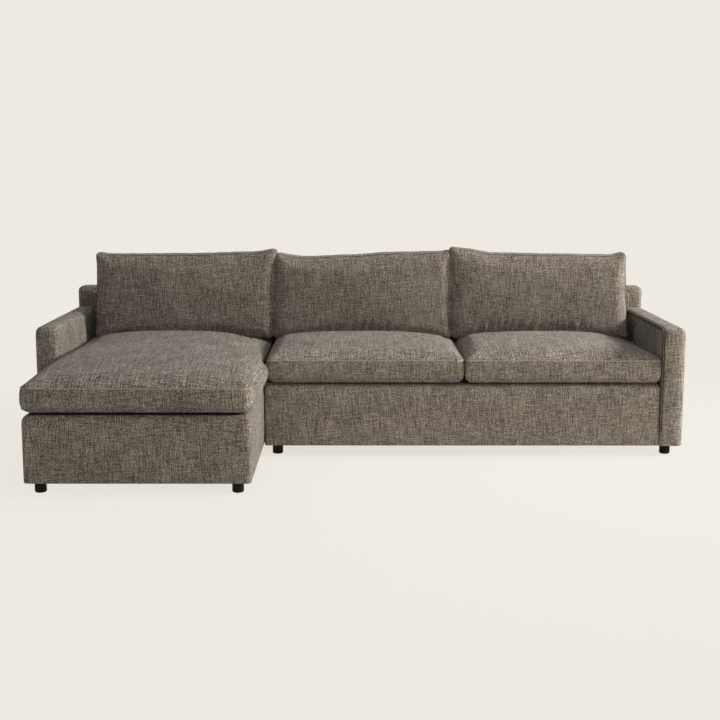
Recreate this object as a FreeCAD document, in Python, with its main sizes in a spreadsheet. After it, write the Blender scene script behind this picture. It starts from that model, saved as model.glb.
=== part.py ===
import FreeCAD, Part
import math
import os
import re

import Sketcher
from FreeCAD import Placement, Rotation, Vector

# Sleeper sectional sofa: a chaise unit on the left and a fold-out bed unit on the right.
# X runs along the sofa, +Y to its back, +Z up. The origin is under the middle of the whole
# outline, on the floor. All lengths are in millimetres.

SIZES = {
    # whole sofa
    "overall_width": 3020,
    "sofa_depth": 996,
    "chaise_projection": 713,
    "chaise_width": 1051,
    "unit_gap": 3,
    # base, arms and backs
    "base_bottom": 48,
    "base_top": 338,
    "arm_width": 95,
    "arm_top": 605,
    "back_depth": 120,
    "back_top": 720,
    "cover_thickness": 12,
    "soft_gap": 0.3,
    "chaise_side_inset": 8,
    "front_rail_depth": 60,
    "arm_edge_radius": 26,
    "back_edge_radius": 27,
    "base_edge_radius": 20,
    # timber
    "post_width": 40,
    "board_thickness": 18,
    "rail_height": 60,
    "brace_height": 42,
    "brace_width": 70,
    "brace_pitch": 300,
    "brace_setback": 230,
    "webbing_thickness": 3,
    "webbing_width": 60,
    "dust_thickness": 2,
    # feet and joining plates
    "foot_radius": 25,
    "foot_inset": 60,
    "foot_bevel": 4,
    "link_length": 150,
    "link_width": 36,
    "link_thickness": 4,
    "link_hole_radius": 4,
    "link_hole_inset": 28,
    # seat and back cushions
    "cushion_gap": 4,
    "seat_rear_gap": 10,
    "side_clearance": 2,
    "seat_front_inset": 2,
    "seat_seam_height": 110,
    "seat_crown": 72,
    "seat_rest_height": 140,
    "seat_rest_slope": 24,
    "seat_corner": 22,
    "seat_draw_in": 6,
    "seat_side_gap": 11,
    "chaise_cushion_right_gap": 2,
    "chaise_cushion_left_gap": 4,
    "chaise_seam_height": 103,
    "back_cushion_gap": 22,
    "back_cushion_thickness": 184,
    "back_cushion_top": 915,
    "back_cushion_side_gap": 53,
    "back_crown": 44,
    "back_rear_crown": 8,
    "back_roll": 22,
    "back_corner": 14,
    "back_draw_in": 12,
    "profile_overrun": 3,
    "inner_back_depth": 118,
    "inner_back_top": 700,
    "inner_back_radius": 14,
    # fold-out bed, with its room beside and behind it
    "bed_side_room": 173.5,
    "bed_rear_gap": 8,
    "head_rear_gap": 65,
    "section_step": 1,
    "mattress_thickness": 90,
    "mattress_inset": 4,
    "mattress_radius": 12,
    "sheet_thickness": 2,
    "frame_thickness": 18,
    "frame_bar": 20,
    "head_bottom": 116.7,
    "hinge_setback": 70,
    "hinge_end_gap": 1,
    "mattress_gap": 3,
    "foot_length": 360,
    "foot_end_gap": 2,
    # swing arms that carry the bed, and their plates on the side boards
    "arm_run": 152,
    "arm_drop": 114,
    "front_pivot": 215,
    "pivot_pitch": 300,
    "swing_gap": 12,
    "swing_thickness": 6,
    "swing_half_width": 12,
    "stud_radius": 5,
    "stud_engagement": 10,
    "running_gap": 0.1,
    "open_pivot_gap": 1,
    "plate_gap": 4,
    "plate_thickness": 4,
    "plate_margin": 36,
    "plate_drop": 44,
    "plate_corner": 12,
    # hinge plates between the bed sections
    "ear_radius": 8,
    "ear_thickness": 4,
    "ear_foot": 25,
    "ear_gap": 0.5,
    "hinge_pin_radius": 3,
    "hinge_pin_head": 1.2,
    "knuckle_radius": 6,
    "lug_foot": 16,
    "lug_rise": 15,
    # folding legs
    "leg_pivot_inset": 70,
    "far_leg_inset": 60,
    "leg_depth": 8.7,
    "leg_length": 358.6,
    "leg_radius": 7,
    "leg_heel": 5,
    "leg_tip_radius": 8,
    "leg_tip_length": 20,
    "leg_pin_radius": 3,
    "near_leg_side_inset": 45,
    "far_leg_side_inset": 75,
    "stringer_inset": 112,
    "stringer_width": 15,
    "pull_bar_radius": 9,
    "pull_bar_setback": 9,
}

CHAISE_SLATS = 6
CHAISE_STRAPS = 11
CHAISE_BACK_STUDS = 5
SLEEPER_BACK_STUDS = 8
SLEEPER_BRACES = 2
ARM_POSTS = 4
HEAD_BARS = 4
MIDDLE_BARS = 4
FOOT_BARS = 3

# The part of the crown that is left over the side seams of a cushion, and where a seat cushion
# begins to sink under the back cushion.
EDGE_CROWN_SHARE = 0.3
REST_CROWN_SHARE = 0.25

# How close a direction or a point counts as the same.
SAME_WAY_SHARE = 0.001
SAME_PLACE_SHARE = 0.0002

SIDES = (("left", -1), ("right", 1))

doc = FreeCAD.newDocument("sleeper_sectional_sofa")
sheet = doc.addObject("Spreadsheet::Sheet", "Sizes")
for row, (alias, number) in enumerate(SIZES.items(), start=1):
    sheet.set(f"A{row}", alias)
    sheet.set(f"B{row}", str(number))
    sheet.setAlias(f"B{row}", alias)
doc.recompute()

nodes = []

# Faces and planes of the whole sofa, as expressions of the named sizes.
LEFT = "(-overall_width / 2)"
RIGHT = "(overall_width / 2)"
FRONT = "((chaise_projection - sofa_depth) / 2)"
REAR = "((chaise_projection + sofa_depth) / 2)"
CHAISE_FRONT = "(-(chaise_projection + sofa_depth) / 2)"
BACK_FRONT = f"({REAR} - back_depth)"
LEFT_ARM_INNER = f"({LEFT} + arm_width)"
RIGHT_ARM_INNER = f"({RIGHT} - arm_width)"
CHAISE_RIGHT = f"({LEFT} + chaise_width)"
SLEEPER_LEFT = f"({CHAISE_RIGHT} + unit_gap)"
CHAISE_LEFT = f"({LEFT_ARM_INNER} + chaise_side_inset)"
PANEL_INNER = f"({SLEEPER_LEFT} + board_thickness)"
BED_MIDDLE = f"(({SLEEPER_LEFT} + {RIGHT_ARM_INNER}) / 2)"
FRAME_TOP = "(base_top - cover_thickness - webbing_thickness)"
BED_HALF = f"(({RIGHT_ARM_INNER} - {SLEEPER_LEFT}) / 2 - bed_side_room)"
SWING_INNER = f"({BED_HALF} + swing_gap)"
SWING_OUTER = f"({SWING_INNER} + swing_thickness)"
PLATE_INNER = f"({SWING_OUTER} + plate_gap)"
BOARD_INNER = f"({PLATE_INNER} + plate_thickness)"
STRINGER_INNER = f"({BED_HALF} - stringer_inset)"
INNER_BACK_FRONT = f"({BACK_FRONT} - inner_back_depth)"
SEAT_REAR = f"({INNER_BACK_FRONT} - seat_rear_gap)"
BACK_CUSHION_REAR = f"({INNER_BACK_FRONT} - back_cushion_gap)"

# Planes of the folded bed.
HEAD_SHEET = "(head_bottom + frame_thickness)"
HEAD_MATTRESS = f"({HEAD_SHEET} + sheet_thickness)"
HEAD_TOP = f"({HEAD_MATTRESS} + mattress_thickness)"
HINGE_Y = f"({FRONT} + hinge_setback)"
HINGE_Z = f"({HEAD_TOP} + mattress_gap / 2)"
MIDDLE_MATTRESS = f"({HEAD_TOP} + mattress_gap)"
MIDDLE_SHEET = f"({MIDDLE_MATTRESS} + mattress_thickness)"
MIDDLE_FRAME = f"({MIDDLE_SHEET} + sheet_thickness)"
MIDDLE_TOP = f"({MIDDLE_FRAME} + frame_thickness)"
SECTION_START = f"({HINGE_Y} + hinge_end_gap)"
HEAD_END = f"({BACK_FRONT} - head_rear_gap)"
FOOT_BACK = f"({BACK_FRONT} - bed_rear_gap)"
FOOT_FACE = f"({FOOT_BACK} - mattress_thickness - sheet_thickness - frame_thickness)"
MIDDLE_END = f"({FOOT_FACE} - hinge_end_gap)"
FOOT_BOTTOM = f"({MIDDLE_TOP} + foot_end_gap)"
FOOT_TOP = f"({FOOT_BOTTOM} + foot_length)"
MIDDLE_HALF = f"({BED_HALF} - section_step)"
FOOT_HALF = f"({MIDDLE_HALF} - section_step)"
BAR_MIDDLE = "(frame_thickness / 2)"
HINGE_RISE = f"(mattress_thickness + sheet_thickness + {BAR_MIDDLE} + mattress_gap / 2)"
PIVOT_Z = f"(head_bottom + {BAR_MIDDLE} + arm_drop)"
LEG_Z = f"({MIDDLE_TOP} - leg_depth)"

# The bed carries its seat cushions, and every back cushion stands on a seat cushion.
SEAT_BOTTOM = f"({MIDDLE_TOP} + soft_gap)"
SEAT_REST = f"({SEAT_BOTTOM} + seat_rest_height)"
CHAISE_SEAT_BOTTOM = "(base_top + soft_gap)"


def bound(expression):
    """Point each size name in an expression at its cell."""
    return re.sub(r"\b([a-z][a-z_]+)\b(?!\()", r"Sizes.\1", expression)


def size(alias):
    """The number that the sheet holds for one size."""
    return float(sheet.get(alias))


def node(item, label):
    """Register one finished sub-part under its own name."""
    item.Label = label
    nodes.append(item)
    return item


def block(name, x, y, z):
    """A box between two planes along each axis."""
    box = doc.addObject("Part::Box", name)
    for length, place, (low, high) in zip(("Length", "Width", "Height"), "xyz", (x, y, z)):
        box.setExpression(length, bound(f"({high}) - ({low})"))
        box.setExpression(f"Placement.Base.{place}", bound(low))
    return box


def rod(name, x, y, z, radius):
    """A round bar along X, from one plane to another."""
    bar = doc.addObject("Part::Cylinder", name)
    bar.Placement = Placement(Vector(), Rotation(Vector(0, 0, 1), Vector(1, 0, 0)))
    bar.setExpression("Radius", bound(radius))
    bar.setExpression("Height", bound(f"({x[1]}) - ({x[0]})"))
    for place, expression in zip("xyz", (x[0], y, z)):
        bar.setExpression(f"Placement.Base.{place}", bound(expression))
    return bar


def tube_along_y(name, x, y, z, radius):
    """A round bar along Y, from one plane to another."""
    bar = doc.addObject("Part::Cylinder", name)
    bar.Placement = Placement(Vector(), Rotation(Vector(0, 0, 1), Vector(0, 1, 0)))
    bar.setExpression("Radius", bound(radius))
    bar.setExpression("Height", bound(f"({y[1]}) - ({y[0]})"))
    for place, expression in zip("xyz", (x, y[0], z)):
        bar.setExpression(f"Placement.Base.{place}", bound(expression))
    return bar


def cut(name, base, tool):
    """One solid less another."""
    result = doc.addObject("Part::Cut", name)
    result.Base = base
    result.Tool = tool
    return result


def fuse(name, pieces):
    """Solids welded into one."""
    result = doc.addObject("Part::MultiFuse", name)
    result.Shapes = pieces
    result.Refine = True
    return result


def group(name, pieces):
    """Separate solids that are kept as one sub-part."""
    result = doc.addObject("Part::Compound", name)
    result.Links = pieces
    return result


def rounded(name, source, radius, wanted, kind="Part::Fillet"):
    """Round or bevel the edges of a solid whose middle point and direction pass a test."""
    doc.recompute()
    picks = []
    for index, edge in enumerate(source.Shape.Edges, start=1):
        middle = edge.CenterOfMass
        way = edge.Vertexes[-1].Point - edge.Vertexes[0].Point
        if way.Length:
            way.normalize()
        if wanted(middle, way, source.Shape.BoundBox):
            picks.append((index, size(radius), size(radius)))
    result = doc.addObject(kind, name)
    result.Base = source
    result.Edges = picks
    return result


def along(way, axis):
    """Whether an edge runs along one axis."""
    return abs(abs(getattr(way, axis)) - 1) < SAME_WAY_SHARE


def near(value, plane):
    """Whether a point lies on a plane."""
    return abs(value - plane) < size("base_bottom") * SAME_PLACE_SHARE


def spread(low, high, width, index, count):
    """The planes of one of several equal members, spaced evenly between two limits."""
    start = f"({low}) + (({high}) - ({low}) - ({width})) * {index} / {count - 1}"
    return start, f"{start} + ({width})"


def across(sign, inner, outer):
    """The planes at two distances from the middle of the bed, on one side."""
    if sign > 0:
        return f"{BED_MIDDLE} + ({inner})", f"{BED_MIDDLE} + ({outer})"
    return f"{BED_MIDDLE} - ({outer})", f"{BED_MIDDLE} - ({inner})"


def link(name, x, end, reach, radius, pin=None):
    """A flat link with round ends from its axis to a point, with a hole there for a pin."""
    body = doc.addObject("PartDesign::Body", name)
    sketch = body.newObject("Sketcher::SketchObject", f"{name}_outline")
    plane = [item for item in body.Origin.OriginFeatures if item.Role == "YZ_Plane"][0]
    sketch.AttachmentSupport = [(plane, "")]
    sketch.MapMode = "FlatFace"
    length = math.hypot(*end)
    half = size(radius)
    top, floor = Vector(0, half, 0), Vector(0, -half, 0)
    far = Vector(length, 0, 0)
    quarter = math.pi / 2
    sketch.addGeometry([
        Part.LineSegment(floor, far + floor),
        Part.ArcOfCircle(Part.Circle(far, Vector(0, 0, 1), half), -quarter, quarter),
        Part.LineSegment(far + top, top),
        Part.ArcOfCircle(Part.Circle(Vector(), Vector(0, 0, 1), half), quarter, 3 * quarter),
    ], False)
    for first, second in ((0, 1), (1, 2), (2, 3), (3, 0)):
        sketch.addConstraint(Sketcher.Constraint("Tangent", first, 2, second, 1))
    sketch.addConstraint(Sketcher.Constraint("Coincident", 3, 3, -1, 1))
    sketch.addConstraint(Sketcher.Constraint("PointOnObject", 1, 3, -1))
    span = sketch.addConstraint(Sketcher.Constraint("DistanceX", -1, 1, 1, 3, length))
    sketch.renameConstraint(span, "span")
    bend = sketch.addConstraint(Sketcher.Constraint("Radius", 3, half))
    sketch.renameConstraint(bend, "bend")
    sketch.setExpression("Constraints.span", bound(reach))
    sketch.setExpression("Constraints.bend", bound(radius))
    if pin:
        loose = size(pin) + size("running_gap")
        circle = sketch.addGeometry(Part.Circle(Vector(), Vector(0, 0, 1), loose), False)
        sketch.addConstraint(Sketcher.Constraint("Coincident", circle, 3, 3, 3))
        bore = sketch.addConstraint(Sketcher.Constraint("Radius", circle, loose))
        sketch.renameConstraint(bore, "bore")
        sketch.setExpression("Constraints.bore", bound(f"{pin} + running_gap"))
    pad = body.newObject("PartDesign::Pad", f"{name}_pad")
    pad.Profile = sketch
    pad.setExpression("Length", bound(f"({x[1]}) - ({x[0]})"))
    turn = math.degrees(math.atan2(end[1], end[0]))
    body.Placement = Placement(Vector(), Rotation(Vector(1, 0, 0), turn))
    return body


def place_link(body, x, y, z):
    """Put a link on its axis."""
    for place, expression in zip("xyz", (x, y, z)):
        body.setExpression(f"Placement.Base.{place}", bound(expression))
    return body


def hinge_ear(name, x, way, pin):
    """A flat ear from the hinge of the two large bed sections down or up to the bars of one."""
    rise = size("mattress_thickness") + size("sheet_thickness") \
        + size("frame_thickness") / 2 + size("mattress_gap") / 2
    ear = link(name, x, (size("ear_foot"), way * rise),
               f"sqrt(ear_foot ^ 2 + {HINGE_RISE} ^ 2)", "ear_radius", pin)
    return place_link(ear, x[0], HINGE_Y, HINGE_Z)


def arc(first, middle, last):
    """An arc through three points."""
    return Part.Arc(first, middle, last).toShape()


def line(first, last):
    """A straight edge."""
    return Part.LineSegment(first, last).toShape()


def prism(edges, way):
    """The solid that a closed outline makes when it moves straight along a vector."""
    return Part.Face(Part.Wire(edges)).extrude(way)


def outline(place, width, height, radius, draw):
    """A rectangle with rounded corners; all its sides but the low one are drawn in a little.

    place turns a distance across and a distance up into a point.
    """
    short = radius * (1 - math.sqrt(0.5))
    steps = [(radius, 0), (width - radius, 0), (width - short, short), (width, radius),
             (width - draw, height / 2), (width, height - radius),
             (width - short, height - short), (width - radius, height),
             (width / 2, height - draw), (radius, height), (short, height - short),
             (0, height - radius), (draw, height / 2), (0, radius), (short, short),
             (radius, 0)]
    points = [place(across, up) for across, up in steps]
    edges = [line(points[0], points[1])]
    for first in range(1, len(points) - 1, 2):
        edges.append(arc(points[first], points[first + 1], points[first + 2]))
    return edges


def crowned(first, middle, last, floor):
    """A profile under one crown: its top arc, over a floor that an axis and a height name."""
    low_first, low_last = Vector(first), Vector(last)
    for point in (low_first, low_last):
        setattr(point, *floor)
    return [arc(first, middle, last), line(last, low_last), line(low_last, low_first),
            line(low_first, first)]


def corners(envelope):
    """The lowest corner of an envelope and its three sizes."""
    base = Vector(envelope.Placement.Base)
    return base, envelope.Length.Value, envelope.Width.Value, envelope.Height.Value


def soft(name, solids):
    """A cushion: the space that its profiles have in common."""
    item = doc.addObject("Part::Feature", name)
    item.Shape = solids[0].common(solids[1]).common(solids[2])
    return item


def seat_shape(name, envelope, seam_alias, resting):
    """A seat cushion: flat below, crowned above, lower where a back cushion stands."""
    doc.recompute()
    base, width, depth, height = corners(envelope)
    spare = size("profile_overrun")
    plan = outline(lambda across, back: base + Vector(across, back, 0), width, depth,
                   size("seat_corner"), size("seat_draw_in"))
    seam = base.z + size(seam_alias)
    crown = size("seat_crown")
    peak = seam + crown
    rest = resting.Placement.Base.z - size("soft_gap")
    slope = size("seat_rest_slope")
    rest_y = resting.Placement.Base.y
    start = base.x - spare
    front = Vector(start, base.y - spare, seam)
    ledge = Vector(start, rest_y - slope, rest + crown * REST_CROWN_SHARE)
    top = Vector(start, (front.y + ledge.y) / 2, peak)
    shelf = Vector(start, rest_y + slope, rest)
    back = Vector(start, base.y + depth + spare, rest)
    low_front = Vector(start, front.y, base.z - spare)
    low_back = Vector(start, back.y, base.z - spare)
    side = [line(low_front, low_back), line(low_back, back), line(back, shelf),
            line(shelf, ledge), arc(ledge, top, front), line(front, low_front)]
    edge = seam + crown * EDGE_CROWN_SHARE
    across = crowned(Vector(start, front.y, edge), Vector(base.x + width / 2, front.y, peak),
                     Vector(base.x + width + spare, front.y, edge), ("z", base.z - spare))
    return soft(name, [prism(plan, Vector(0, 0, height)),
                       prism(side, Vector(width + 2 * spare, 0, 0)),
                       prism(across, Vector(0, depth + 2 * spare, 0))])


def back_shape(name, envelope):
    """A back cushion: crowned in front, less so behind, with rolled top and bottom edges."""
    doc.recompute()
    base, width, depth, height = corners(envelope)
    spare = size("profile_overrun")
    face = outline(lambda across, up: base + Vector(across, 0, up), width, height,
                   size("back_corner"), size("back_draw_in"))
    crown, roll = size("back_crown"), size("back_roll")
    seam, rear = base.y + crown, base.y + depth
    hollow = rear - size("back_rear_crown")
    low, high = base.z - spare, base.z + height + spare
    half, mid = (low + high) / 2, (seam + hollow) / 2
    start = base.x - spare
    low_front, high_front = Vector(start, seam, low + roll), Vector(start, seam, high - roll)
    low_rear, high_rear = Vector(start, hollow, low + roll), Vector(start, hollow, high - roll)
    section = [
        arc(low_front, Vector(start, base.y, half), high_front),
        arc(high_front, Vector(start, mid, high), high_rear),
        arc(high_rear, Vector(start, rear, half), low_rear),
        arc(low_rear, Vector(start, mid, low), low_front),
    ]
    edge = seam - crown * EDGE_CROWN_SHARE
    across = crowned(Vector(start, edge, low), Vector(base.x + width / 2, base.y, low),
                     Vector(base.x + width + spare, edge, low), ("y", rear + spare))
    return soft(name, [prism(face, Vector(0, depth, 0)),
                       prism(section, Vector(width + 2 * spare, 0, 0)),
                       prism(across, Vector(0, 0, high - low))])


def ladder_frame(name, x, y, z, studs, deep):
    """A timber frame: a rail along the top and bottom, and evenly spaced posts between."""
    rails = [
        block(f"{name}_bottom_rail", x, y, (z[0], f"{z[0]} + post_width")),
        block(f"{name}_top_rail", x, y, (f"{z[1]} - post_width", z[1])),
    ]
    between = (f"{z[0]} + post_width", f"{z[1]} - post_width")
    for index in range(studs):
        if deep:
            planes = x, spread(y[0], y[1], "post_width", index, studs)
        else:
            planes = spread(x[0], x[1], "post_width", index, studs), y
        rails.append(block(f"{name}_post_{index}", *planes, between))
    return group(name, rails)


def feet(name, places):
    """Short turned feet with a bevelled lower edge."""
    made = []
    for index, (x, y) in enumerate(places):
        foot = doc.addObject("Part::Cylinder", f"{name}_{index}_blank")
        foot.setExpression("Radius", bound("foot_radius"))
        foot.setExpression("Height", bound("base_bottom - dust_thickness"))
        foot.setExpression("Placement.Base.x", bound(x))
        foot.setExpression("Placement.Base.y", bound(y))
        made.append(rounded(
            f"{name}_{index}", foot, "foot_bevel",
            lambda middle, way, box: near(middle.z, box.ZMin) and not way.Length,
            "Part::Chamfer"))
    return group(name, made)


def arm(prefix, x):
    """A slim track arm: timber frame inside a padded cover with a soft top edge."""
    cavity_x = f"{x[0]} + cover_thickness", f"{x[1]} - cover_thickness"
    cavity_y = f"{FRONT} + cover_thickness", BACK_FRONT
    cavity_z = "base_bottom", "arm_top - cover_thickness"
    node(ladder_frame(f"{prefix}_arm_frame", cavity_x, cavity_y, cavity_z, ARM_POSTS, True),
         f"{prefix}_arm_frame")
    outer = block(f"{prefix}_arm_outer", x, (FRONT, BACK_FRONT), ("base_bottom", "arm_top"))
    soft_edges = rounded(
        f"{prefix}_arm_soft", outer, "arm_edge_radius",
        lambda middle, way, box: near(middle.z, box.ZMax)
        and (along(way, "y") or near(middle.y, box.YMin)))
    cavity = block(f"{prefix}_arm_cavity", cavity_x, cavity_y, cavity_z)
    node(cut(f"{prefix}_arm_cover", soft_edges, cavity), f"{prefix}_arm_cover")


def back(prefix, x, studs, free_end):
    """A low back: timber frame inside a padded cover, rounded at the top and at its free end."""
    cavity_x = f"{x[0]} + cover_thickness", f"{x[1]} - cover_thickness"
    cavity_y = f"{BACK_FRONT} + cover_thickness", f"{REAR} - cover_thickness"
    cavity_z = "base_bottom", "back_top - cover_thickness"
    node(ladder_frame(f"{prefix}_back_frame", cavity_x, cavity_y, cavity_z, studs, False),
         f"{prefix}_back_frame")
    outer = block(f"{prefix}_back_outer", x, (BACK_FRONT, REAR), ("base_bottom", "back_top"))

    def free_edge(middle, way, box):
        end = box.XMin if free_end < 0 else box.XMax
        top = near(middle.z, box.ZMax) and along(way, "x")
        return top or (near(middle.x, end) and along(way, "z"))

    soft_edges = rounded(f"{prefix}_back_soft", outer, "back_edge_radius", free_edge)
    cavity = block(f"{prefix}_back_cavity", cavity_x, cavity_y, cavity_z)
    node(cut(f"{prefix}_back_cover", soft_edges, cavity), f"{prefix}_back_cover")


def chaise_base():
    """Timber base of the chaise, its webbing, cover, dust cover and feet."""
    inner_x = f"{CHAISE_LEFT} + cover_thickness", f"{CHAISE_RIGHT} - cover_thickness"
    inner_y = f"{CHAISE_FRONT} + cover_thickness", f"{BACK_FRONT} - cover_thickness"
    tall = "base_bottom", FRAME_TOP
    left_rail = inner_x[0], f"{inner_x[0]} + post_width"
    right_rail = f"{inner_x[1]} - post_width", inner_x[1]
    between = left_rail[1], right_rail[0]
    timbers = [
        block("chaise_left_rail", left_rail, inner_y, tall),
        block("chaise_right_rail", right_rail, inner_y, tall),
    ]
    for index in range(CHAISE_SLATS + 2):
        ends = index in (0, CHAISE_SLATS + 1)
        depth = spread(inner_y[0], inner_y[1], "post_width", index, CHAISE_SLATS + 2)
        height = tall if ends else (f"{FRAME_TOP} - rail_height", FRAME_TOP)
        timbers.append(block(f"chaise_slat_{index}", between, depth, height))
    node(group("chaise_base_frame", timbers), "chaise_base_frame")

    straps = []
    for index in range(CHAISE_STRAPS):
        depth = spread(f"{inner_y[0]} + post_width", f"{inner_y[1]} - post_width",
                       "webbing_width", index, CHAISE_STRAPS)
        straps.append(block(f"chaise_strap_{index}", inner_x, depth,
                            (FRAME_TOP, f"{FRAME_TOP} + webbing_thickness")))
    node(group("chaise_webbing", straps), "chaise_webbing")

    wide = block("chaise_cover_wide", (LEFT_ARM_INNER, CHAISE_RIGHT), (FRONT, BACK_FRONT),
                 ("base_bottom", "base_top"))
    long = block("chaise_cover_long", (CHAISE_LEFT, CHAISE_RIGHT), (CHAISE_FRONT, BACK_FRONT),
                 ("base_bottom", "base_top"))
    body = fuse("chaise_cover_body", [wide, long])
    soft_edges = rounded(
        "chaise_cover_soft", body, "base_edge_radius",
        lambda middle, way, box: near(middle.y, box.YMin)
        and (along(way, "z") or (along(way, "x") and near(middle.z, box.ZMax))))
    cavity = block("chaise_cover_cavity", inner_x, inner_y,
                   ("base_bottom", f"{FRAME_TOP} + webbing_thickness"))
    node(cut("chaise_base_cover", soft_edges, cavity), "chaise_base_cover")

    below = "base_bottom - dust_thickness", "base_bottom"
    node(block("chaise_dust_cover", inner_x, (inner_y[0], f"{REAR} - cover_thickness"), below),
         "chaise_dust_cover")
    foot_x = f"{CHAISE_LEFT} + foot_inset", f"{CHAISE_RIGHT} - foot_inset"
    foot_y = f"{CHAISE_FRONT} + foot_inset", f"{REAR} - foot_inset"
    node(feet("chaise_feet", [(x, y) for x in foot_x for y in foot_y]), "chaise_feet")


def sleeper_base():
    """Front rail, side panel, side boxes, braces, dust cover and feet of the bed unit."""
    tall = "base_bottom", "base_top"
    rail_x = SLEEPER_LEFT, RIGHT_ARM_INNER
    rail_y = FRONT, f"{FRONT} + front_rail_depth"
    board_y = f"{rail_y[0]} + cover_thickness", f"{rail_y[1]} - cover_thickness"
    board_x = f"{rail_x[0]} + cover_thickness", f"{rail_x[1]} - cover_thickness"
    board_z = "base_bottom", "base_top - cover_thickness"
    node(block("sleeper_front_rail", board_x, board_y, board_z), "sleeper_front_rail")
    outer = block("sleeper_rail_outer", rail_x, rail_y, tall)
    soft_edges = rounded(
        "sleeper_rail_soft", outer, "base_edge_radius",
        lambda middle, way, box: near(middle.y, box.YMin) and near(middle.z, box.ZMax))
    cavity = block("sleeper_rail_cavity", board_x, board_y, board_z)
    node(cut("sleeper_rail_cover", soft_edges, cavity), "sleeper_rail_cover")

    behind = rail_y[1], BACK_FRONT
    low = "base_bottom", "base_bottom + brace_height"
    inside = PANEL_INNER, RIGHT_ARM_INNER
    node(block("sleeper_left_panel", (SLEEPER_LEFT, PANEL_INNER), behind, tall),
         "sleeper_left_panel")
    node(block("sleeper_rear_rail", inside, (f"{BACK_FRONT} - board_thickness", BACK_FRONT), low),
         "sleeper_rear_rail")
    braces = []
    for index in range(SLEEPER_BRACES):
        start = f"{FRONT} + brace_setback + brace_pitch * {index}"
        braces.append(block(f"sleeper_brace_{index}", inside, (start, f"{start} + brace_width"), low))
    node(group("sleeper_cross_braces", braces), "sleeper_cross_braces")

    upright = low[1], "base_top - board_thickness"
    lid = "base_top - board_thickness", "base_top"
    for side, sign in SIDES:
        board = across(sign, BOARD_INNER, f"{BOARD_INNER} + board_thickness")
        lid_x = (board[0], RIGHT_ARM_INNER) if sign > 0 else (PANEL_INNER, board[1])
        node(group(f"side_box_{side}", [
            block(f"side_board_{side}", board, behind, upright),
            block(f"side_lid_{side}", lid_x, behind, lid),
        ]), f"side_box_{side}")
        pad_x = (f"{lid_x[0]}", f"{lid_x[1]} - side_clearance") if sign > 0 \
            else (f"{SLEEPER_LEFT} + side_clearance", f"{lid_x[1]}")
        padding = block(f"side_filler_{side}_blank", pad_x,
                        (INNER_BACK_FRONT, f"{BACK_FRONT} - soft_gap"),
                        ("base_top + soft_gap", "inner_back_top"))
        node(rounded(f"side_filler_{side}", padding, "inner_back_radius",
                     lambda middle, way, box: near(middle.z, box.ZMax)
                     and near(middle.y, box.YMin)), f"side_filler_{side}")

    below = "base_bottom - dust_thickness", "base_bottom"
    left, right = f"{SLEEPER_LEFT} + cover_thickness", f"{RIGHT} - cover_thickness"
    node(block("sleeper_dust_cover", (left, right),
               (f"{FRONT} + cover_thickness", f"{REAR} - cover_thickness"), below),
         "sleeper_dust_cover")
    left_foot, right_foot = f"{SLEEPER_LEFT} + foot_inset", f"{RIGHT} - foot_inset"
    front_foot, rear_foot = f"{FRONT} + foot_inset", f"{REAR} - foot_inset"
    node(feet("sleeper_feet", [
        (left_foot, front_foot), (right_foot, front_foot), (left_foot, rear_foot),
        (BED_MIDDLE, rear_foot), (right_foot, rear_foot)]), "sleeper_feet")


def joining_plates():
    """Flat steel plates under both bases that hold the two units together."""
    middle = f"({CHAISE_RIGHT} + unit_gap / 2)"
    top = "base_bottom - dust_thickness"
    places = {
        "front": f"{FRONT} + brace_setback",
        "rear": f"{BACK_FRONT} - brace_setback",
    }
    for end, y in places.items():
        plate = block(f"link_plate_{end}_blank",
                      (f"{middle} - link_length / 2", f"{middle} + link_length / 2"),
                      (y, f"{y} + link_width"), (f"{top} - link_thickness", top))
        soft_edges = rounded(f"link_plate_{end}_soft", plate, "plate_corner",
                             lambda middle, way, box: along(way, "z"), "Part::Chamfer")
        holes = []
        for side, sign in SIDES:
            hole = doc.addObject("Part::Cylinder", f"link_hole_{end}_{side}")
            hole.setExpression("Radius", bound("link_hole_radius"))
            hole.setExpression("Height", bound("link_thickness"))
            reach = f"{sign} * (link_length / 2 - link_hole_inset)"
            hole.setExpression("Placement.Base.x", bound(f"{middle} + {reach}"))
            hole.setExpression("Placement.Base.y", bound(f"{y} + link_width / 2"))
            hole.setExpression("Placement.Base.z", bound(f"{top} - link_thickness"))
            holes.append(hole)
        node(cut(f"link_plate_{end}", soft_edges, fuse(f"link_holes_{end}", holes)),
             f"link_plate_{end}")


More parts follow.
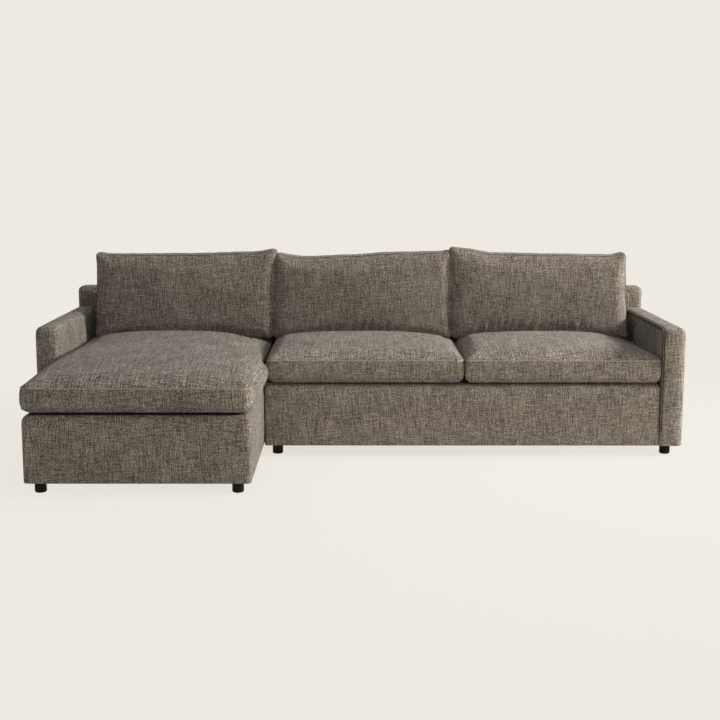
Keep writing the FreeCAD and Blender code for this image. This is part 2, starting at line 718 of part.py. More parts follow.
def cushions():
    """Three seat cushions, three back cushions and the padded back behind the chaise cushion."""
    left = f"{LEFT_ARM_INNER} + back_cushion_side_gap"
    right = f"{RIGHT_ARM_INNER} - back_cushion_side_gap"
    first = f"({CHAISE_RIGHT} + seat_side_gap)"
    second = f"(({first} + {right}) / 2 + cushion_gap)"
    spans = {
        "chaise_back_cushion": (left, f"{first} - cushion_gap / 2"),
        "back_cushion_middle": (f"{first} + cushion_gap / 2", f"{second} - cushion_gap / 2"),
        "back_cushion_right": (f"{second} + cushion_gap / 2", right),
    }
    for name, x in spans.items():
        resting = block(f"{name}_envelope", x,
                        (f"{BACK_CUSHION_REAR} - back_cushion_thickness", BACK_CUSHION_REAR),
                        (f"{SEAT_REST} + soft_gap", "back_cushion_top"))
        node(back_shape(name, resting), name)

    seat_left = f"{SLEEPER_LEFT} + seat_side_gap"
    seat_right = f"{RIGHT_ARM_INNER} - cushion_gap"
    split = f"(({seat_left} + {seat_right}) / 2 + cushion_gap)"
    spans = {
        "seat_cushion_left": (seat_left, f"{split} - cushion_gap / 2"),
        "seat_cushion_right": (f"{split} + cushion_gap / 2", seat_right),
    }
    for name, x in spans.items():
        envelope = block(f"{name}_envelope", x, (f"{FRONT} + seat_front_inset", SEAT_REAR),
                         (SEAT_BOTTOM, f"{SEAT_BOTTOM} + seat_seam_height + seat_crown"))
        node(seat_shape(name, envelope, "seat_seam_height", resting), name)
    envelope = block(
        "chaise_seat_envelope",
        (f"{LEFT_ARM_INNER} + chaise_cushion_left_gap",
         f"{CHAISE_RIGHT} - chaise_cushion_right_gap"),
        (f"{CHAISE_FRONT} + seat_front_inset", SEAT_REAR),
        (CHAISE_SEAT_BOTTOM, f"{CHAISE_SEAT_BOTTOM} + chaise_seam_height + seat_crown"))
    node(seat_shape("chaise_seat_cushion", envelope, "chaise_seam_height", resting),
         "chaise_seat_cushion")

    padding = block("chaise_inner_back_blank",
                    (f"{LEFT_ARM_INNER} + side_clearance", f"{CHAISE_RIGHT} - side_clearance"),
                    (INNER_BACK_FRONT, f"{BACK_FRONT} - soft_gap"),
                    ("base_top + soft_gap", "inner_back_top"))
    node(rounded("chaise_inner_back", padding, "inner_back_radius",
                 lambda middle, way, box: near(middle.z, box.ZMax) and near(middle.y, box.YMin)),
         "chaise_inner_back")


def padded_slab(name, x, y, z):
    """A mattress section: a block with softened edges."""
    return rounded(name, block(f"{name}_blank", x, y, z), "mattress_radius",
                   lambda middle, way, box: along(way, "x"))


def head_section():
    """The lowest section of the folded bed, which the swing arms carry."""
    half = across(1, f"-{BED_HALF}", BED_HALF)
    z = "head_bottom", HEAD_SHEET
    bars = []
    for side, sign in SIDES:
        bars.append(block(f"head_side_bar_{side}",
                          across(sign, f"{BED_HALF} - frame_bar", BED_HALF),
                          (SECTION_START, HEAD_END), z))
    between = across(1, f"frame_bar - {BED_HALF}", f"{BED_HALF} - frame_bar")
    for index in range(HEAD_BARS):
        bars.append(block(f"head_cross_bar_{index}", between,
                          spread(SECTION_START, HEAD_END, "frame_bar", index, HEAD_BARS), z))
    sockets = []
    gaps = "running_gap", "open_pivot_gap"
    for row_index, gap in enumerate(gaps):
        y = f"{FRONT} + front_pivot + pivot_pitch * {row_index} + arm_run"
        for side, sign in SIDES:
            depth = across(sign, f"{BED_HALF} - stud_engagement - running_gap",
                           BED_HALF)
            sockets.append(rod(f"head_socket_{row_index}_{side}", depth, y,
                               f"head_bottom + {BAR_MIDDLE}", f"stud_radius + {gap}"))
    node(cut("head_frame", fuse("head_bars", bars), fuse("head_sockets", sockets)), "head_frame")
    node(block("head_deck", half, (SECTION_START, HEAD_END), (HEAD_SHEET, HEAD_MATTRESS)),
         "head_deck")
    inner = across(1, f"mattress_inset - {BED_HALF}", f"{BED_HALF} - mattress_inset")
    node(padded_slab("head_mattress", inner, (SECTION_START, HEAD_END),
                     (HEAD_MATTRESS, HEAD_TOP)), "head_mattress")

    for side, sign in SIDES:
        x = across(sign, BED_HALF, f"{BED_HALF} + ear_thickness")
        ear = hinge_ear(f"head_ear_{side}", x, -1, None)
        pin_x = across(sign, BED_HALF,
                       f"{BED_HALF} + 2 * ear_thickness + 2 * ear_gap + hinge_pin_head")
        pin = rod(f"head_hinge_pin_{side}", pin_x, HINGE_Y, HINGE_Z, "hinge_pin_radius")
        node(fuse(f"head_hinge_plate_{side}", [ear, pin]), f"head_hinge_plate_{side}")


def middle_section():
    """The section that lies face down on the head section when the bed is folded."""
    z = MIDDLE_FRAME, MIDDLE_TOP
    bars = []
    for side, sign in SIDES:
        bars.append(block(f"middle_side_bar_{side}",
                          across(sign, f"{MIDDLE_HALF} - frame_bar", MIDDLE_HALF),
                          (SECTION_START, MIDDLE_END), z))
        bars.append(block(f"middle_stringer_{side}",
                          across(sign, STRINGER_INNER, f"{STRINGER_INNER} + stringer_width"),
                          (f"{SECTION_START} + frame_bar", MIDDLE_END), z))
    wide = across(1, f"frame_bar - {MIDDLE_HALF}", f"{MIDDLE_HALF} - frame_bar")
    short = across(1, f"-{STRINGER_INNER}", STRINGER_INNER)
    first = f"{SECTION_START} + frame_bar"
    for index in range(MIDDLE_BARS):
        span = wide if index in (0, MIDDLE_BARS - 1) else short
        bars.append(block(f"middle_cross_bar_{index}", span,
                          spread(first, MIDDLE_END, "frame_bar", index, MIDDLE_BARS), z))
    for side, sign in SIDES:
        pins = {
            "near": f"{SECTION_START} + leg_pivot_inset",
            "far": f"{MIDDLE_END} - far_leg_inset",
        }
        for leg, y in pins.items():
            bars.append(rod(f"{leg}_leg_pin_{side}",
                            across(sign, f"{STRINGER_INNER} + stringer_width",
                                   f"{MIDDLE_HALF} - frame_bar"),
                            y, LEG_Z, "leg_pin_radius"))
        x = across(sign, MIDDLE_HALF, f"{MIDDLE_HALF} + ear_thickness")
        lug = link(f"middle_lug_{side}", x, (-size("lug_foot"), -size("frame_thickness") / 2),
                   f"sqrt(lug_foot ^ 2 + {BAR_MIDDLE} ^ 2)", "knuckle_radius",
                   "hinge_pin_radius")
        place_link(lug, x[0], FOOT_FACE, MIDDLE_TOP)
        bars.append(lug)
    node(fuse("middle_frame", bars), "middle_frame")
    node(rod("pull_bar", wide, f"{SECTION_START} + pull_bar_setback",
             f"{MIDDLE_FRAME} + {BAR_MIDDLE}", "pull_bar_radius"), "pull_bar")

    half = across(1, f"-{MIDDLE_HALF}", MIDDLE_HALF)
    node(block("middle_deck", half, (SECTION_START, MIDDLE_END), (MIDDLE_SHEET, MIDDLE_FRAME)),
         "middle_deck")
    inner = across(1, f"mattress_inset - {BED_HALF}", f"{BED_HALF} - mattress_inset")
    node(padded_slab("middle_mattress", inner, (SECTION_START, MIDDLE_END),
                     (MIDDLE_MATTRESS, MIDDLE_SHEET)), "middle_mattress")

    inner_face = f"{BED_HALF} + ear_thickness + ear_gap"
    for side, sign in SIDES:
        x = across(sign, inner_face, f"{inner_face} + ear_thickness")
        ear = hinge_ear(f"middle_ear_{side}", x, 1, "hinge_pin_radius")
        boss = rod(f"middle_ear_boss_{side}", across(sign, MIDDLE_HALF, inner_face),
                   f"{HINGE_Y} + ear_foot", f"{MIDDLE_FRAME} + {BAR_MIDDLE}", "ear_radius")
        node(fuse(f"middle_hinge_plate_{side}", [ear, boss]), f"middle_hinge_plate_{side}")


def foot_section():
    """The flap at the foot of the bed, which stands upright behind the back cushions."""
    y = FOOT_FACE, f"{FOOT_FACE} + frame_thickness"
    bars = []
    for side, sign in SIDES:
        bars.append(block(f"foot_side_bar_{side}",
                          across(sign, f"{FOOT_HALF} - frame_bar", FOOT_HALF),
                          y, (FOOT_BOTTOM, FOOT_TOP)))
        inner_face = f"{MIDDLE_HALF} + ear_thickness + ear_gap"
        x = across(sign, inner_face, f"{inner_face} + ear_thickness")
        lug = link(f"foot_lug_{side}", x, (size("frame_thickness") / 2, size("lug_rise")),
                   f"sqrt(lug_rise ^ 2 + {BAR_MIDDLE} ^ 2)", "knuckle_radius")
        place_link(lug, x[0], FOOT_FACE, MIDDLE_TOP)
        bars.append(lug)
        bars.append(rod(f"foot_lug_boss_{side}", across(sign, FOOT_HALF, inner_face),
                        f"{FOOT_FACE} + frame_thickness / 2", f"{MIDDLE_TOP} + lug_rise",
                        "knuckle_radius"))
        bars.append(rod(f"foot_pin_{side}", across(sign, MIDDLE_HALF, inner_face),
                        FOOT_FACE, MIDDLE_TOP, "hinge_pin_radius"))
    between = across(1, f"frame_bar - {FOOT_HALF}", f"{FOOT_HALF} - frame_bar")
    for index in range(FOOT_BARS):
        bars.append(block(f"foot_cross_bar_{index}", between, y,
                          spread(FOOT_BOTTOM, FOOT_TOP, "frame_bar", index, FOOT_BARS)))
    node(fuse("foot_frame", bars), "foot_frame")
    sheet_y = y[1], f"{y[1]} + sheet_thickness"
    half = across(1, f"-{FOOT_HALF}", FOOT_HALF)
    node(block("foot_deck", half, sheet_y, (FOOT_BOTTOM, FOOT_TOP)), "foot_deck")
    inner = across(1, f"mattress_inset - {BED_HALF}", f"{BED_HALF} - mattress_inset")
    node(padded_slab("foot_mattress", inner,
                     (sheet_y[1], f"{sheet_y[1]} + mattress_thickness"),
                     (FOOT_BOTTOM, FOOT_TOP)), "foot_mattress")


def legs():
    """Two pairs of legs, folded flat in the middle section, with plastic tips."""
    tips = {"near": [], "far": []}
    for side, sign in SIDES:
        for leg, way in (("near", 1), ("far", -1)):
            x = f"{BED_MIDDLE} + {sign} * ({BED_HALF} - {leg}_leg_side_inset)"
            if way > 0:
                pivot = f"({SECTION_START} + leg_pivot_inset)"
                shaft = f"{pivot} - leg_heel", f"{pivot} + leg_length - leg_tip_length"
                tip = shaft[1], f"{pivot} + leg_length"
            else:
                pivot = f"({MIDDLE_END} - far_leg_inset)"
                shaft = f"{pivot} - leg_length + leg_tip_length", f"{pivot} + leg_heel"
                tip = f"{pivot} - leg_length", shaft[0]
            tube = tube_along_y(f"{leg}_leg_tube_{side}", x, shaft, LEG_Z, "leg_radius")
            bore = rod(f"{leg}_leg_bore_{side}", (f"{x} - leg_radius", f"{x} + leg_radius"),
                       pivot, LEG_Z, "leg_pin_radius + running_gap")
            node(cut(f"{leg}_leg_{side}", tube, bore), f"{leg}_leg_{side}")
            tips[leg].append(tube_along_y(f"{leg}_tip_{side}", x, tip, LEG_Z, "leg_tip_radius"))
    for leg, pair in tips.items():
        node(group(f"{leg}_leg_tips", pair), f"{leg}_leg_tips")


def swing_linkage():
    """Plates on the side boards and the two pairs of swing arms that lift the bed over the rail."""
    for side, sign in SIDES:
        x = across(sign, PLATE_INNER, BOARD_INNER)
        plate = block(f"mounting_plate_{side}_blank", x,
                      (f"{FRONT} + front_pivot - plate_margin",
                       f"{FRONT} + front_pivot + pivot_pitch + plate_margin"),
                      (f"{PIVOT_Z} - plate_drop", f"{PIVOT_Z} + plate_margin"))
        soft_edges = rounded(f"mounting_plate_{side}_soft", plate, "plate_corner",
                             lambda middle, way, box: along(way, "x"), "Part::Chamfer")
        bores = []
        for row_index, name in enumerate(("front", "rear")):
            y = f"({FRONT} + front_pivot + pivot_pitch * {row_index})"
            bores.append(rod(f"{name}_bore_{side}", x, y, PIVOT_Z, "stud_radius + running_gap"))
            arm_x = across(sign, SWING_INNER, SWING_OUTER)
            bar = link(f"{name}_arm_bar_{side}", arm_x, (size("arm_run"), -size("arm_drop")),
                       "sqrt(arm_run ^ 2 + arm_drop ^ 2)", "swing_half_width")
            place_link(bar, arm_x[0], y, PIVOT_Z)
            fixed = rod(f"{name}_fixed_stud_{side}", across(sign, SWING_OUTER, BOARD_INNER),
                        y, PIVOT_Z, "stud_radius")
            lifting = rod(f"{name}_lifting_stud_{side}",
                          across(sign, f"{BED_HALF} - stud_engagement", SWING_INNER),
                          f"{y} + arm_run", f"{PIVOT_Z} - arm_drop", "stud_radius")
            node(fuse(f"{name}_swing_arm_{side}", [bar, fixed, lifting]),
                 f"{name}_swing_arm_{side}")
        node(cut(f"mounting_plate_{side}", soft_edges, fuse(f"plate_bores_{side}", bores)),
             f"mounting_plate_{side}")


chaise_base()
arm("chaise", (LEFT, LEFT_ARM_INNER))
back("chaise", (LEFT, CHAISE_RIGHT), CHAISE_BACK_STUDS, -1)
sleeper_base()
arm("sleeper", (RIGHT_ARM_INNER, RIGHT))
back("sleeper", (SLEEPER_LEFT, RIGHT), SLEEPER_BACK_STUDS, 1)
joining_plates()
cushions()
head_section()
middle_section()
foot_section()
legs()
swing_linkage()
doc.recompute()

for item in doc.Objects:
    if {"Invalid", "Error"} & set(item.State):
        raise RuntimeError(f"{item.Label} failed: {item.State}")
for item in nodes:
    if item.Shape.isNull() or not item.Shape.isValid() or not item.Shape.Solids:
        raise RuntimeError(f"{item.Label} has no valid solid")

os.makedirs("parts", exist_ok=True)
for item in nodes:
    item.Shape.exportStep(os.path.join("parts", f"{item.Label}.step"))
print(len(nodes), "sub-parts written")
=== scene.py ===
import math

import bmesh
import bpy
from mathutils import Matrix, Vector, noise


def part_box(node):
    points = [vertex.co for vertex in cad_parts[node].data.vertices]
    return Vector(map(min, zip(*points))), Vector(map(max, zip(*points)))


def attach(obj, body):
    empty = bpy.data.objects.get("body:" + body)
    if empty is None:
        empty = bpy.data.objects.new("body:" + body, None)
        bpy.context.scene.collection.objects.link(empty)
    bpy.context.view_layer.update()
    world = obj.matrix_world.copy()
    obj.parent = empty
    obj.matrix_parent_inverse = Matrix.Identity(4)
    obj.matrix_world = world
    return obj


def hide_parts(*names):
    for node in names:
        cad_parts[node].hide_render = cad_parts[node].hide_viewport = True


# The looks of the sleeper sectional sofa. Lengths are in metres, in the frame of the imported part:
# X along the sofa, +Y to its back, +Z up.

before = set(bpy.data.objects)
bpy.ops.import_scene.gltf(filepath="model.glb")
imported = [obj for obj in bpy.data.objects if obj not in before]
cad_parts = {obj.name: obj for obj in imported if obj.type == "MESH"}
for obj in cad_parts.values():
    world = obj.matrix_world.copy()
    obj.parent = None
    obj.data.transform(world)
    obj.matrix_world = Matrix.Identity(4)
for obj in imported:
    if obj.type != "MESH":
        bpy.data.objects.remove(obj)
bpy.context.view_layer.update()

# Camera, solved from the photograph's straight edges; the sensor's width is in millimetres.
IMAGE_SIZE = 720
FOCAL_PIXELS = 1231
SENSOR_WIDTH = 36
CAMERA_PLACE = Vector((-0.0279, -5.8221, 1.3484))
CAMERA_PITCH = 0.1555
CAMERA_YAW = -0.004
CAMERA_ROLL = 0.0013

# Lamps, as name, place, width and watts, and the point that they aim at.
LAMPS = (
    ("key_lamp", (6.8, -0.3, 3.4), 1.6, 840),
    ("fill_lamp", (2.0, -6.0, 2.6), 2.6, 78),
    ("top_lamp", (-0.9, 0.3, 4.6), 3.0, 26),
)
LAMP_AIM = Vector((0, 0, 0.4))
SKY_COLOUR = (0.98, 0.99, 1.0, 1.0)
SKY_STRENGTH = 0.38

# Colours, as red, green and blue of a screen, 0 to 255.
BACKDROP_COLOUR = (238, 234, 225)
FABRIC_COLOUR = (106, 96, 86)
# The chaise unit's colour is the same tweed as the bed unit's, painted darker as painted shade.
CHAISE_SHADED_COLOUR = (96, 87, 77)
SEAM_COLOUR = (168, 158, 144)
DARK_YARN = (52, 45, 39)
PALE_YARN = (170, 160, 148)
TIMBER_COLOUR = (196, 160, 112)
FOOT_COLOUR = (15, 9, 7)
STEEL_COLOUR = (120, 122, 124)
WEBBING_COLOUR = (58, 54, 50)
DUST_COLOUR = (26, 26, 27)
DECK_COLOUR = (196, 190, 176)
UNDER_SEAT_COLOUR = (42, 38, 34)
TICKING_COLOUR = (214, 209, 197)
TAPE_COLOUR = (176, 166, 150)
PLASTIC_COLOUR = (30, 30, 31)

# Tweed: the pitch of its yarns, and the width and length of its slubs.
YARN_PITCH = 0.0024
SLUB_WIDTH = 0.0026
SLUB_LENGTH = 0.06

# Cushions: the grid of their covers, and how long and how far the filling blows them up.
CUSHION_CELL = 0.014
ROLL_ROWS = 3
FILLING_FRAMES = 20
FILLING_REACH = 0.008

# Covers: their wall, and the slight unevenness of their skin.
COVER_WALL = 0.006
RIPPLE_HEIGHT = 0.0008
RIPPLES_PER_METRE = 9
PUFF = 0.004

# Where the cushions of the seats and the backs meet.
SEAT_TOP = 0.526
SEAT_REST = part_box("back_cushion_middle")[0][2] - 0.001
BACK_FOOT_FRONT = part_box("back_cushion_middle")[0][1]
FREE_SIDE_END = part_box("seat_cushion_left")[0][1] - 0.012


def linear(colour, level=1.0):
    """A screen colour as a shader's linear colour, by the sRGB curve."""
    parts = []
    for part in colour:
        share = part / 255
        value = share / 12.92 if share <= 0.04045 else ((share + 0.055) / 1.055) ** 2.4
        parts.append(min(value * level, 1.0))
    return (*parts, 1.0)


# Materials.

class Recipe:
    """A node material under construction."""

    def __init__(self, name, colour, roughness):
        self.material = bpy.data.materials.new(name)
        self.material.use_nodes = True
        self.material.diffuse_color = linear(colour)
        self.nodes = self.material.node_tree.nodes
        self.links = self.material.node_tree.links
        self.shader = self.nodes["Principled BSDF"]
        self.set("Roughness", roughness)
        coordinates = self.nodes.new("ShaderNodeTexCoord")
        self.place = coordinates.outputs["Object"]
        self.facing = coordinates.outputs["Normal"]

    def set(self, socket, value):
        """Set one of the shader's own sockets."""
        self.shader.inputs[socket].default_value = value

    def put(self, value, socket):
        """Give a socket a number, a colour or another node's output."""
        if isinstance(value, bpy.types.NodeSocket):
            self.links.new(value, socket)
        else:
            socket.default_value = value

    def node(self, kind, *values):
        """A new node with values in its first sockets."""
        node = self.nodes.new(f"ShaderNode{kind}")
        for value, socket in zip(values, node.inputs):
            self.put(value, socket)
        return node

    def calc(self, operation, first, second=0.0):
        """The result of a sum with one value or two."""
        node = self.node("Math", first, second)
        node.operation = operation
        return node.outputs[0]

    def plus(self, first, second):
        """One value plus another."""
        return self.calc("ADD", first, second)

    def times(self, first, second):
        """One value times another."""
        return self.calc("MULTIPLY", first, second)

    def weighted(self, *pairs):
        """A sum of values, each times its weight."""
        total = self.times(*pairs[0])
        for value, weight in pairs[1:]:
            total = self.plus(total, self.times(value, weight))
        return total

    def split(self, vector):
        """The three parts of a vector."""
        return self.node("SeparateXYZ", vector).outputs

    def join(self, x, y, z=0.0):
        """A vector of three parts."""
        return self.node("CombineXYZ", x, y, z).outputs[0]

    def pick(self, share, first, second):
        """The first value where the share is 0, the second where it is 1."""
        node = self.node("Mix", share)
        self.put(first, node.inputs[2])
        self.put(second, node.inputs[3])
        return node.outputs[0]

    def noise(self, vector, pitch, detail=2.0, roughness=0.5):
        """Cloudy noise with spots of about one pitch."""
        node = self.node("TexNoise", vector)
        for name, value in (("Scale", 1 / pitch), ("Detail", detail), ("Roughness", roughness)):
            node.inputs[name].default_value = value
        return node.outputs["Fac"]

    def weave(self, across, up, pitch):
        """Threads over and under each other, as a height between -1 and 1."""
        turns = 2 * math.pi / pitch
        return self.times(self.calc("SINE", self.times(across, turns)),
                          self.calc("SINE", self.times(up, turns)))

    def ramp(self, value, stops):
        """Colours along a value, from pairs of place and linear colour."""
        node = self.node("ValToRGB", value)
        elements = node.color_ramp.elements
        for index, (place, colour) in enumerate(stops):
            element = elements[index] if index < 2 else elements.new(place)
            element.position = place
            element.color = colour
        return node.outputs[0]

    def shades(self, value, colour, *stops):
        """Levels of one colour along a value, from pairs of place and level."""
        return self.ramp(value, [(place, linear(colour, level)) for place, level in stops])

    def tinted(self, first, second):
        """One colour times another."""
        node = self.node("Mix", 1.0)
        node.data_type = "RGBA"
        node.blend_type = "MULTIPLY"
        self.put(first, node.inputs[6])
        self.put(second, node.inputs[7])
        return node.outputs[2]

    def surface_places(self):
        """Places along a cloth surface: across and up on its sides, across and back on its top."""
        x, y, z = self.split(self.place)
        side, _, top = self.split(self.facing)
        steep = 0.7
        on_side = self.calc("GREATER_THAN", self.calc("ABSOLUTE", side), steep)
        on_top = self.calc("GREATER_THAN", self.calc("ABSOLUTE", top), steep)
        depth = self.calc("DIVIDE", y, 2.0)
        return self.pick(on_side, x, y), self.pick(on_top, z, depth)

    def finish(self, colour, height, depth, strength):
        """Wire the colour and the bump to the shader."""
        self.put(colour, self.shader.inputs["Base Color"])
        bump = self.node("Bump")
        bump.inputs["Distance"].default_value = depth
        bump.inputs["Strength"].default_value = strength
        self.put(height, bump.inputs["Height"])
        self.put(bump.outputs[0], self.shader.inputs["Normal"])
        return self.material


def tweed(name, colour):
    """Chunky tweed: dark and pale slubs along both threads, and a faint green and rusty cast."""
    recipe = Recipe(name, colour, 0.95)
    recipe.set("Sheen Weight", 0.06)
    recipe.set("Sheen Roughness", 0.6)
    recipe.set("Specular IOR Level", 0.15)
    across, up = recipe.surface_places()
    stretch = SLUB_LENGTH / SLUB_WIDTH
    stagger = 0.62
    along_warp = recipe.plus(recipe.calc("DIVIDE", up, stretch * 1.5),
                             recipe.times(across, stagger))
    along_weft = recipe.plus(recipe.calc("DIVIDE", across, stretch),
                             recipe.times(up, stagger))
    weft_layer, fleck_layer, hue_layer = 3.7, 1.9, 8.2
    warp = recipe.noise(recipe.join(across, along_warp), SLUB_WIDTH * 0.9, 1.5)
    weft = recipe.noise(recipe.join(along_weft, up, weft_layer), SLUB_WIDTH, 1.5)
    fleck = recipe.noise(recipe.join(across, up, fleck_layer), SLUB_WIDTH * 1.15, 2.0, 0.65)
    cloud = recipe.noise(recipe.place, 0.16)
    value = recipe.weighted((warp, 0.26), (weft, 0.19), (fleck, 0.43), (cloud, 0.05))
    tone = recipe.ramp(value, ((0.385, linear(DARK_YARN)), (0.545, linear(PALE_YARN)),
                               (0.463, linear(colour))))
    greenish, rusty, neutral = (0.96, 1.02, 0.98, 1), (1.05, 0.98, 0.96, 1), (1, 1, 1, 1)
    hue = recipe.noise(recipe.join(across, up, hue_layer), SLUB_WIDTH * 2.2, 1.0)
    tint = recipe.ramp(hue, ((0.34, greenish), (0.66, rusty), (0.5, neutral)))
    yarns = recipe.times(recipe.weave(across, up, YARN_PITCH), 0.2)
    return recipe.finish(recipe.tinted(tone, tint), recipe.plus(yarns, value), 0.0018, 0.5)


def seam_thread():
    """The pale twisted thread of a topstitched seam."""
    recipe = Recipe("seam_thread", SEAM_COLOUR, 0.8)
    twist = recipe.noise(recipe.place, 0.004, 1.0)
    tone = recipe.shades(twist, SEAM_COLOUR, (0.35, 0.7), (0.65, 1.2))
    return recipe.finish(tone, twist, 0.0004, 0.5)


def timber():
    """Planed softwood with long grain."""
    recipe = Recipe("timber_grain", TIMBER_COLOUR, 0.6)
    x, y, z = recipe.split(recipe.place)
    along = recipe.join(recipe.calc("DIVIDE", x, 9.0), y, z)
    grain = recipe.noise(along, 0.012, 4.0, 0.6)
    rings = recipe.noise(along, 0.05, 1.0)
    value = recipe.weighted((grain, 0.6), (rings, 0.4))
    tone = recipe.shades(value, TIMBER_COLOUR, (0.3, 0.62), (0.7, 1.15))
    return recipe.finish(tone, grain, 0.0006, 0.4)


def foot_wood():
    """Dark stained wood under a satin varnish."""
    recipe = Recipe("dark_foot_wood", FOOT_COLOUR, 0.5)
    recipe.set("Specular IOR Level", 0.14)
    x, y, z = recipe.split(recipe.place)
    grain = recipe.noise(recipe.join(x, y, recipe.calc("DIVIDE", z, 8.0)), 0.004, 3.0)
    tone = recipe.shades(grain, FOOT_COLOUR, (0.35, 0.7), (0.7, 1.6))
    return recipe.finish(tone, grain, 0.0003, 0.3)


def steel():
    """Grey powder-coated steel with a fine orange-peel skin."""
    recipe = Recipe("coated_steel", STEEL_COLOUR, 0.4)
    recipe.set("Metallic", 0.75)
    skin = recipe.noise(recipe.place, 0.0018)
    wear = recipe.noise(recipe.place, 0.06, 3.0, 0.7)
    tone = recipe.shades(wear, STEEL_COLOUR, (0.35, 0.78), (0.7, 1.12))
    return recipe.finish(tone, skin, 0.0003, 0.25)


def woven(name, colour, pitch, uneven=0.25):
    """Flat cloth in a plain weave; uneven is how much darker its darkest places are."""
    recipe = Recipe(name, colour, 0.85)
    across, up = recipe.surface_places()
    weave = recipe.weave(across, up, pitch)
    cloud = recipe.noise(recipe.place, 0.03, 3.0, 0.6)
    value = recipe.plus(recipe.times(weave, 0.12), cloud)
    tone = recipe.shades(value, colour, (0.3, 1 - uneven), (0.75, 1 + uneven / 2))
    return recipe.finish(tone, weave, 0.0008, 0.4)


def plastic():
    """Black moulded plastic."""
    recipe = Recipe("leg_tip_plastic", PLASTIC_COLOUR, 0.5)
    skin = recipe.noise(recipe.place, 0.0012)
    tone = recipe.shades(skin, PLASTIC_COLOUR, (0.3, 0.8), (0.7, 1.3))
    return recipe.finish(tone, skin, 0.0002, 0.3)


FABRIC = tweed("sofa_tweed", FABRIC_COLOUR)
# The chaise unit's copy of the tweed is painted darker, as painted shade.
CHAISE_FABRIC_PAINTED_SHADE = tweed("chaise_tweed", CHAISE_SHADED_COLOUR)
SEAM = seam_thread()
DARK_THREAD = woven("dark_seam_thread", DARK_YARN, 0.003)
DECK_CLOTH = woven("under_seat_cloth", UNDER_SEAT_COLOUR, 0.0045, 0.45)
TICKING = woven("mattress_ticking", TICKING_COLOUR, 0.0016, 0.07)
TAPE = woven("mattress_tape", TAPE_COLOUR, 0.002)

# The finish of each material slot of the CAD nodes.
NODE_MATERIALS = {
    "timber": timber(),
    "foot_wood": foot_wood(),
    "steel": steel(),
    "webbing": woven("elastic_webbing", WEBBING_COLOUR, 0.003),
    "dust_cloth": woven("black_dust_cloth", DUST_COLOUR, 0.0012),
    "deck_cloth": woven("deck_cloth", DECK_COLOUR, 0.0025),
    "leg_plastic": plastic(),
}


def fabric_of(node):
    """The chaise unit gets the bed unit's tweed painted a little darker, as painted shade."""
    return CHAISE_FABRIC_PAINTED_SHADE if node.startswith("chaise") else FABRIC


# Meshes.

def smooth_step(value):
    """0 below 0, 1 above 1, and an even rise between."""
    value = min(max(value, 0.0), 1.0)
    return value * value * (3 - 2 * value)


def lines_between(low, high, edge, steps, cell):
    """Places of grid lines: close ones along both edges, and even ones between."""
    edge = min(edge, (high - low) / 3)
    lines = [low + edge * step / steps for step in range(steps)]
    middle = high - low - 2 * edge
    count = max(2, round(middle / cell))
    lines += [low + edge + middle * index / count for index in range(count + 1)]
    lines += [high - edge * step / steps for step in range(steps - 1, -1, -1)]
    return lines


def smooth_face(mesh, corners, material=0):
    """A smooth face between points of the mesh."""
    face = mesh.faces.new(corners)
    face.smooth = True
    face.material_index = material


def join_rings(mesh, low, high, material=0):
    """A band of quads between two rings of points."""
    for index in range(len(low)):
        after = (index + 1) % len(low)
        smooth_face(mesh, (low[index], low[after], high[after], high[index]), material)


def tube_rings(mesh, points, radius, closed, sides):
    """A ring of points round each point of a line."""
    start, end = (points[-1], points[0]) if closed else (points[0], points[-1])
    line = [start, *points, end]
    rings = []
    normal = None
    for before, point, after in zip(line, line[1:], line[2:]):
        way = (after - before).normalized()
        if normal is None:
            normal = way.orthogonal().normalized()
        normal = (normal - way * normal.dot(way)).normalized()
        other = way.cross(normal)
        ring = []
        for side in range(sides):
            turn = 2 * math.pi * side / sides
            spoke = normal * math.cos(turn) + other * math.sin(turn)
            ring.append(mesh.verts.new(point + spoke * radius))
        rings.append(ring)
    return rings


def add_tube(mesh, points, radius, closed=False, sides=8, material=0):
    """A thin welt along a line of points."""
    rings = tube_rings(mesh, points, radius, closed, sides)
    if closed:
        first, last = rings[0], rings[-1]
        turn = min(range(sides), key=lambda side: (first[side].co - last[0].co).length)
        rings.append(first[turn:] + first[:turn])
    for low, high in zip(rings, rings[1:]):
        join_rings(mesh, low, high, material)
    if not closed:
        for ring in (rings[0], rings[-1]):
            smooth_face(mesh, ring, material)


def make_object(name, mesh, *materials):
    """An object with faces that look outward, from a bmesh."""
    bmesh.ops.recalc_face_normals(mesh, faces=mesh.faces)
    data = bpy.data.meshes.new(name)
    mesh.to_mesh(data)
    mesh.free()
    for material in materials:
        data.materials.append(material)
    item = bpy.data.objects.new(name, data)
    bpy.context.scene.collection.objects.link(item)
    return item


def face_grid(mesh, cache, place, first, second):
    """Quads over two lists of lines; place turns a pair of lines into a point."""
    def vertex(a, b):
        point = place(a, b)
        key = tuple(round(part, 6) for part in point)
        if key not in cache:
            cache[key] = mesh.verts.new(point)
        return cache[key]

    for low_a, high_a in zip(first, first[1:]):
        for low_b, high_b in zip(second, second[1:]):
            smooth_face(mesh, (vertex(low_a, low_b), vertex(high_a, low_b),
                               vertex(high_a, high_b), vertex(low_a, high_b)))


def box_side(mesh, cache, lines, axis, plane):
    """A grid over the side of a box that lies in a plane across an axis."""
    across, up = [other for other in range(3) if other != axis]

    def place(a, b):
        point = Vector((0, 0, 0))
        point[axis], point[across], point[up] = plane, a, b
        return point

    face_grid(mesh, cache, place, lines[across], lines[up])


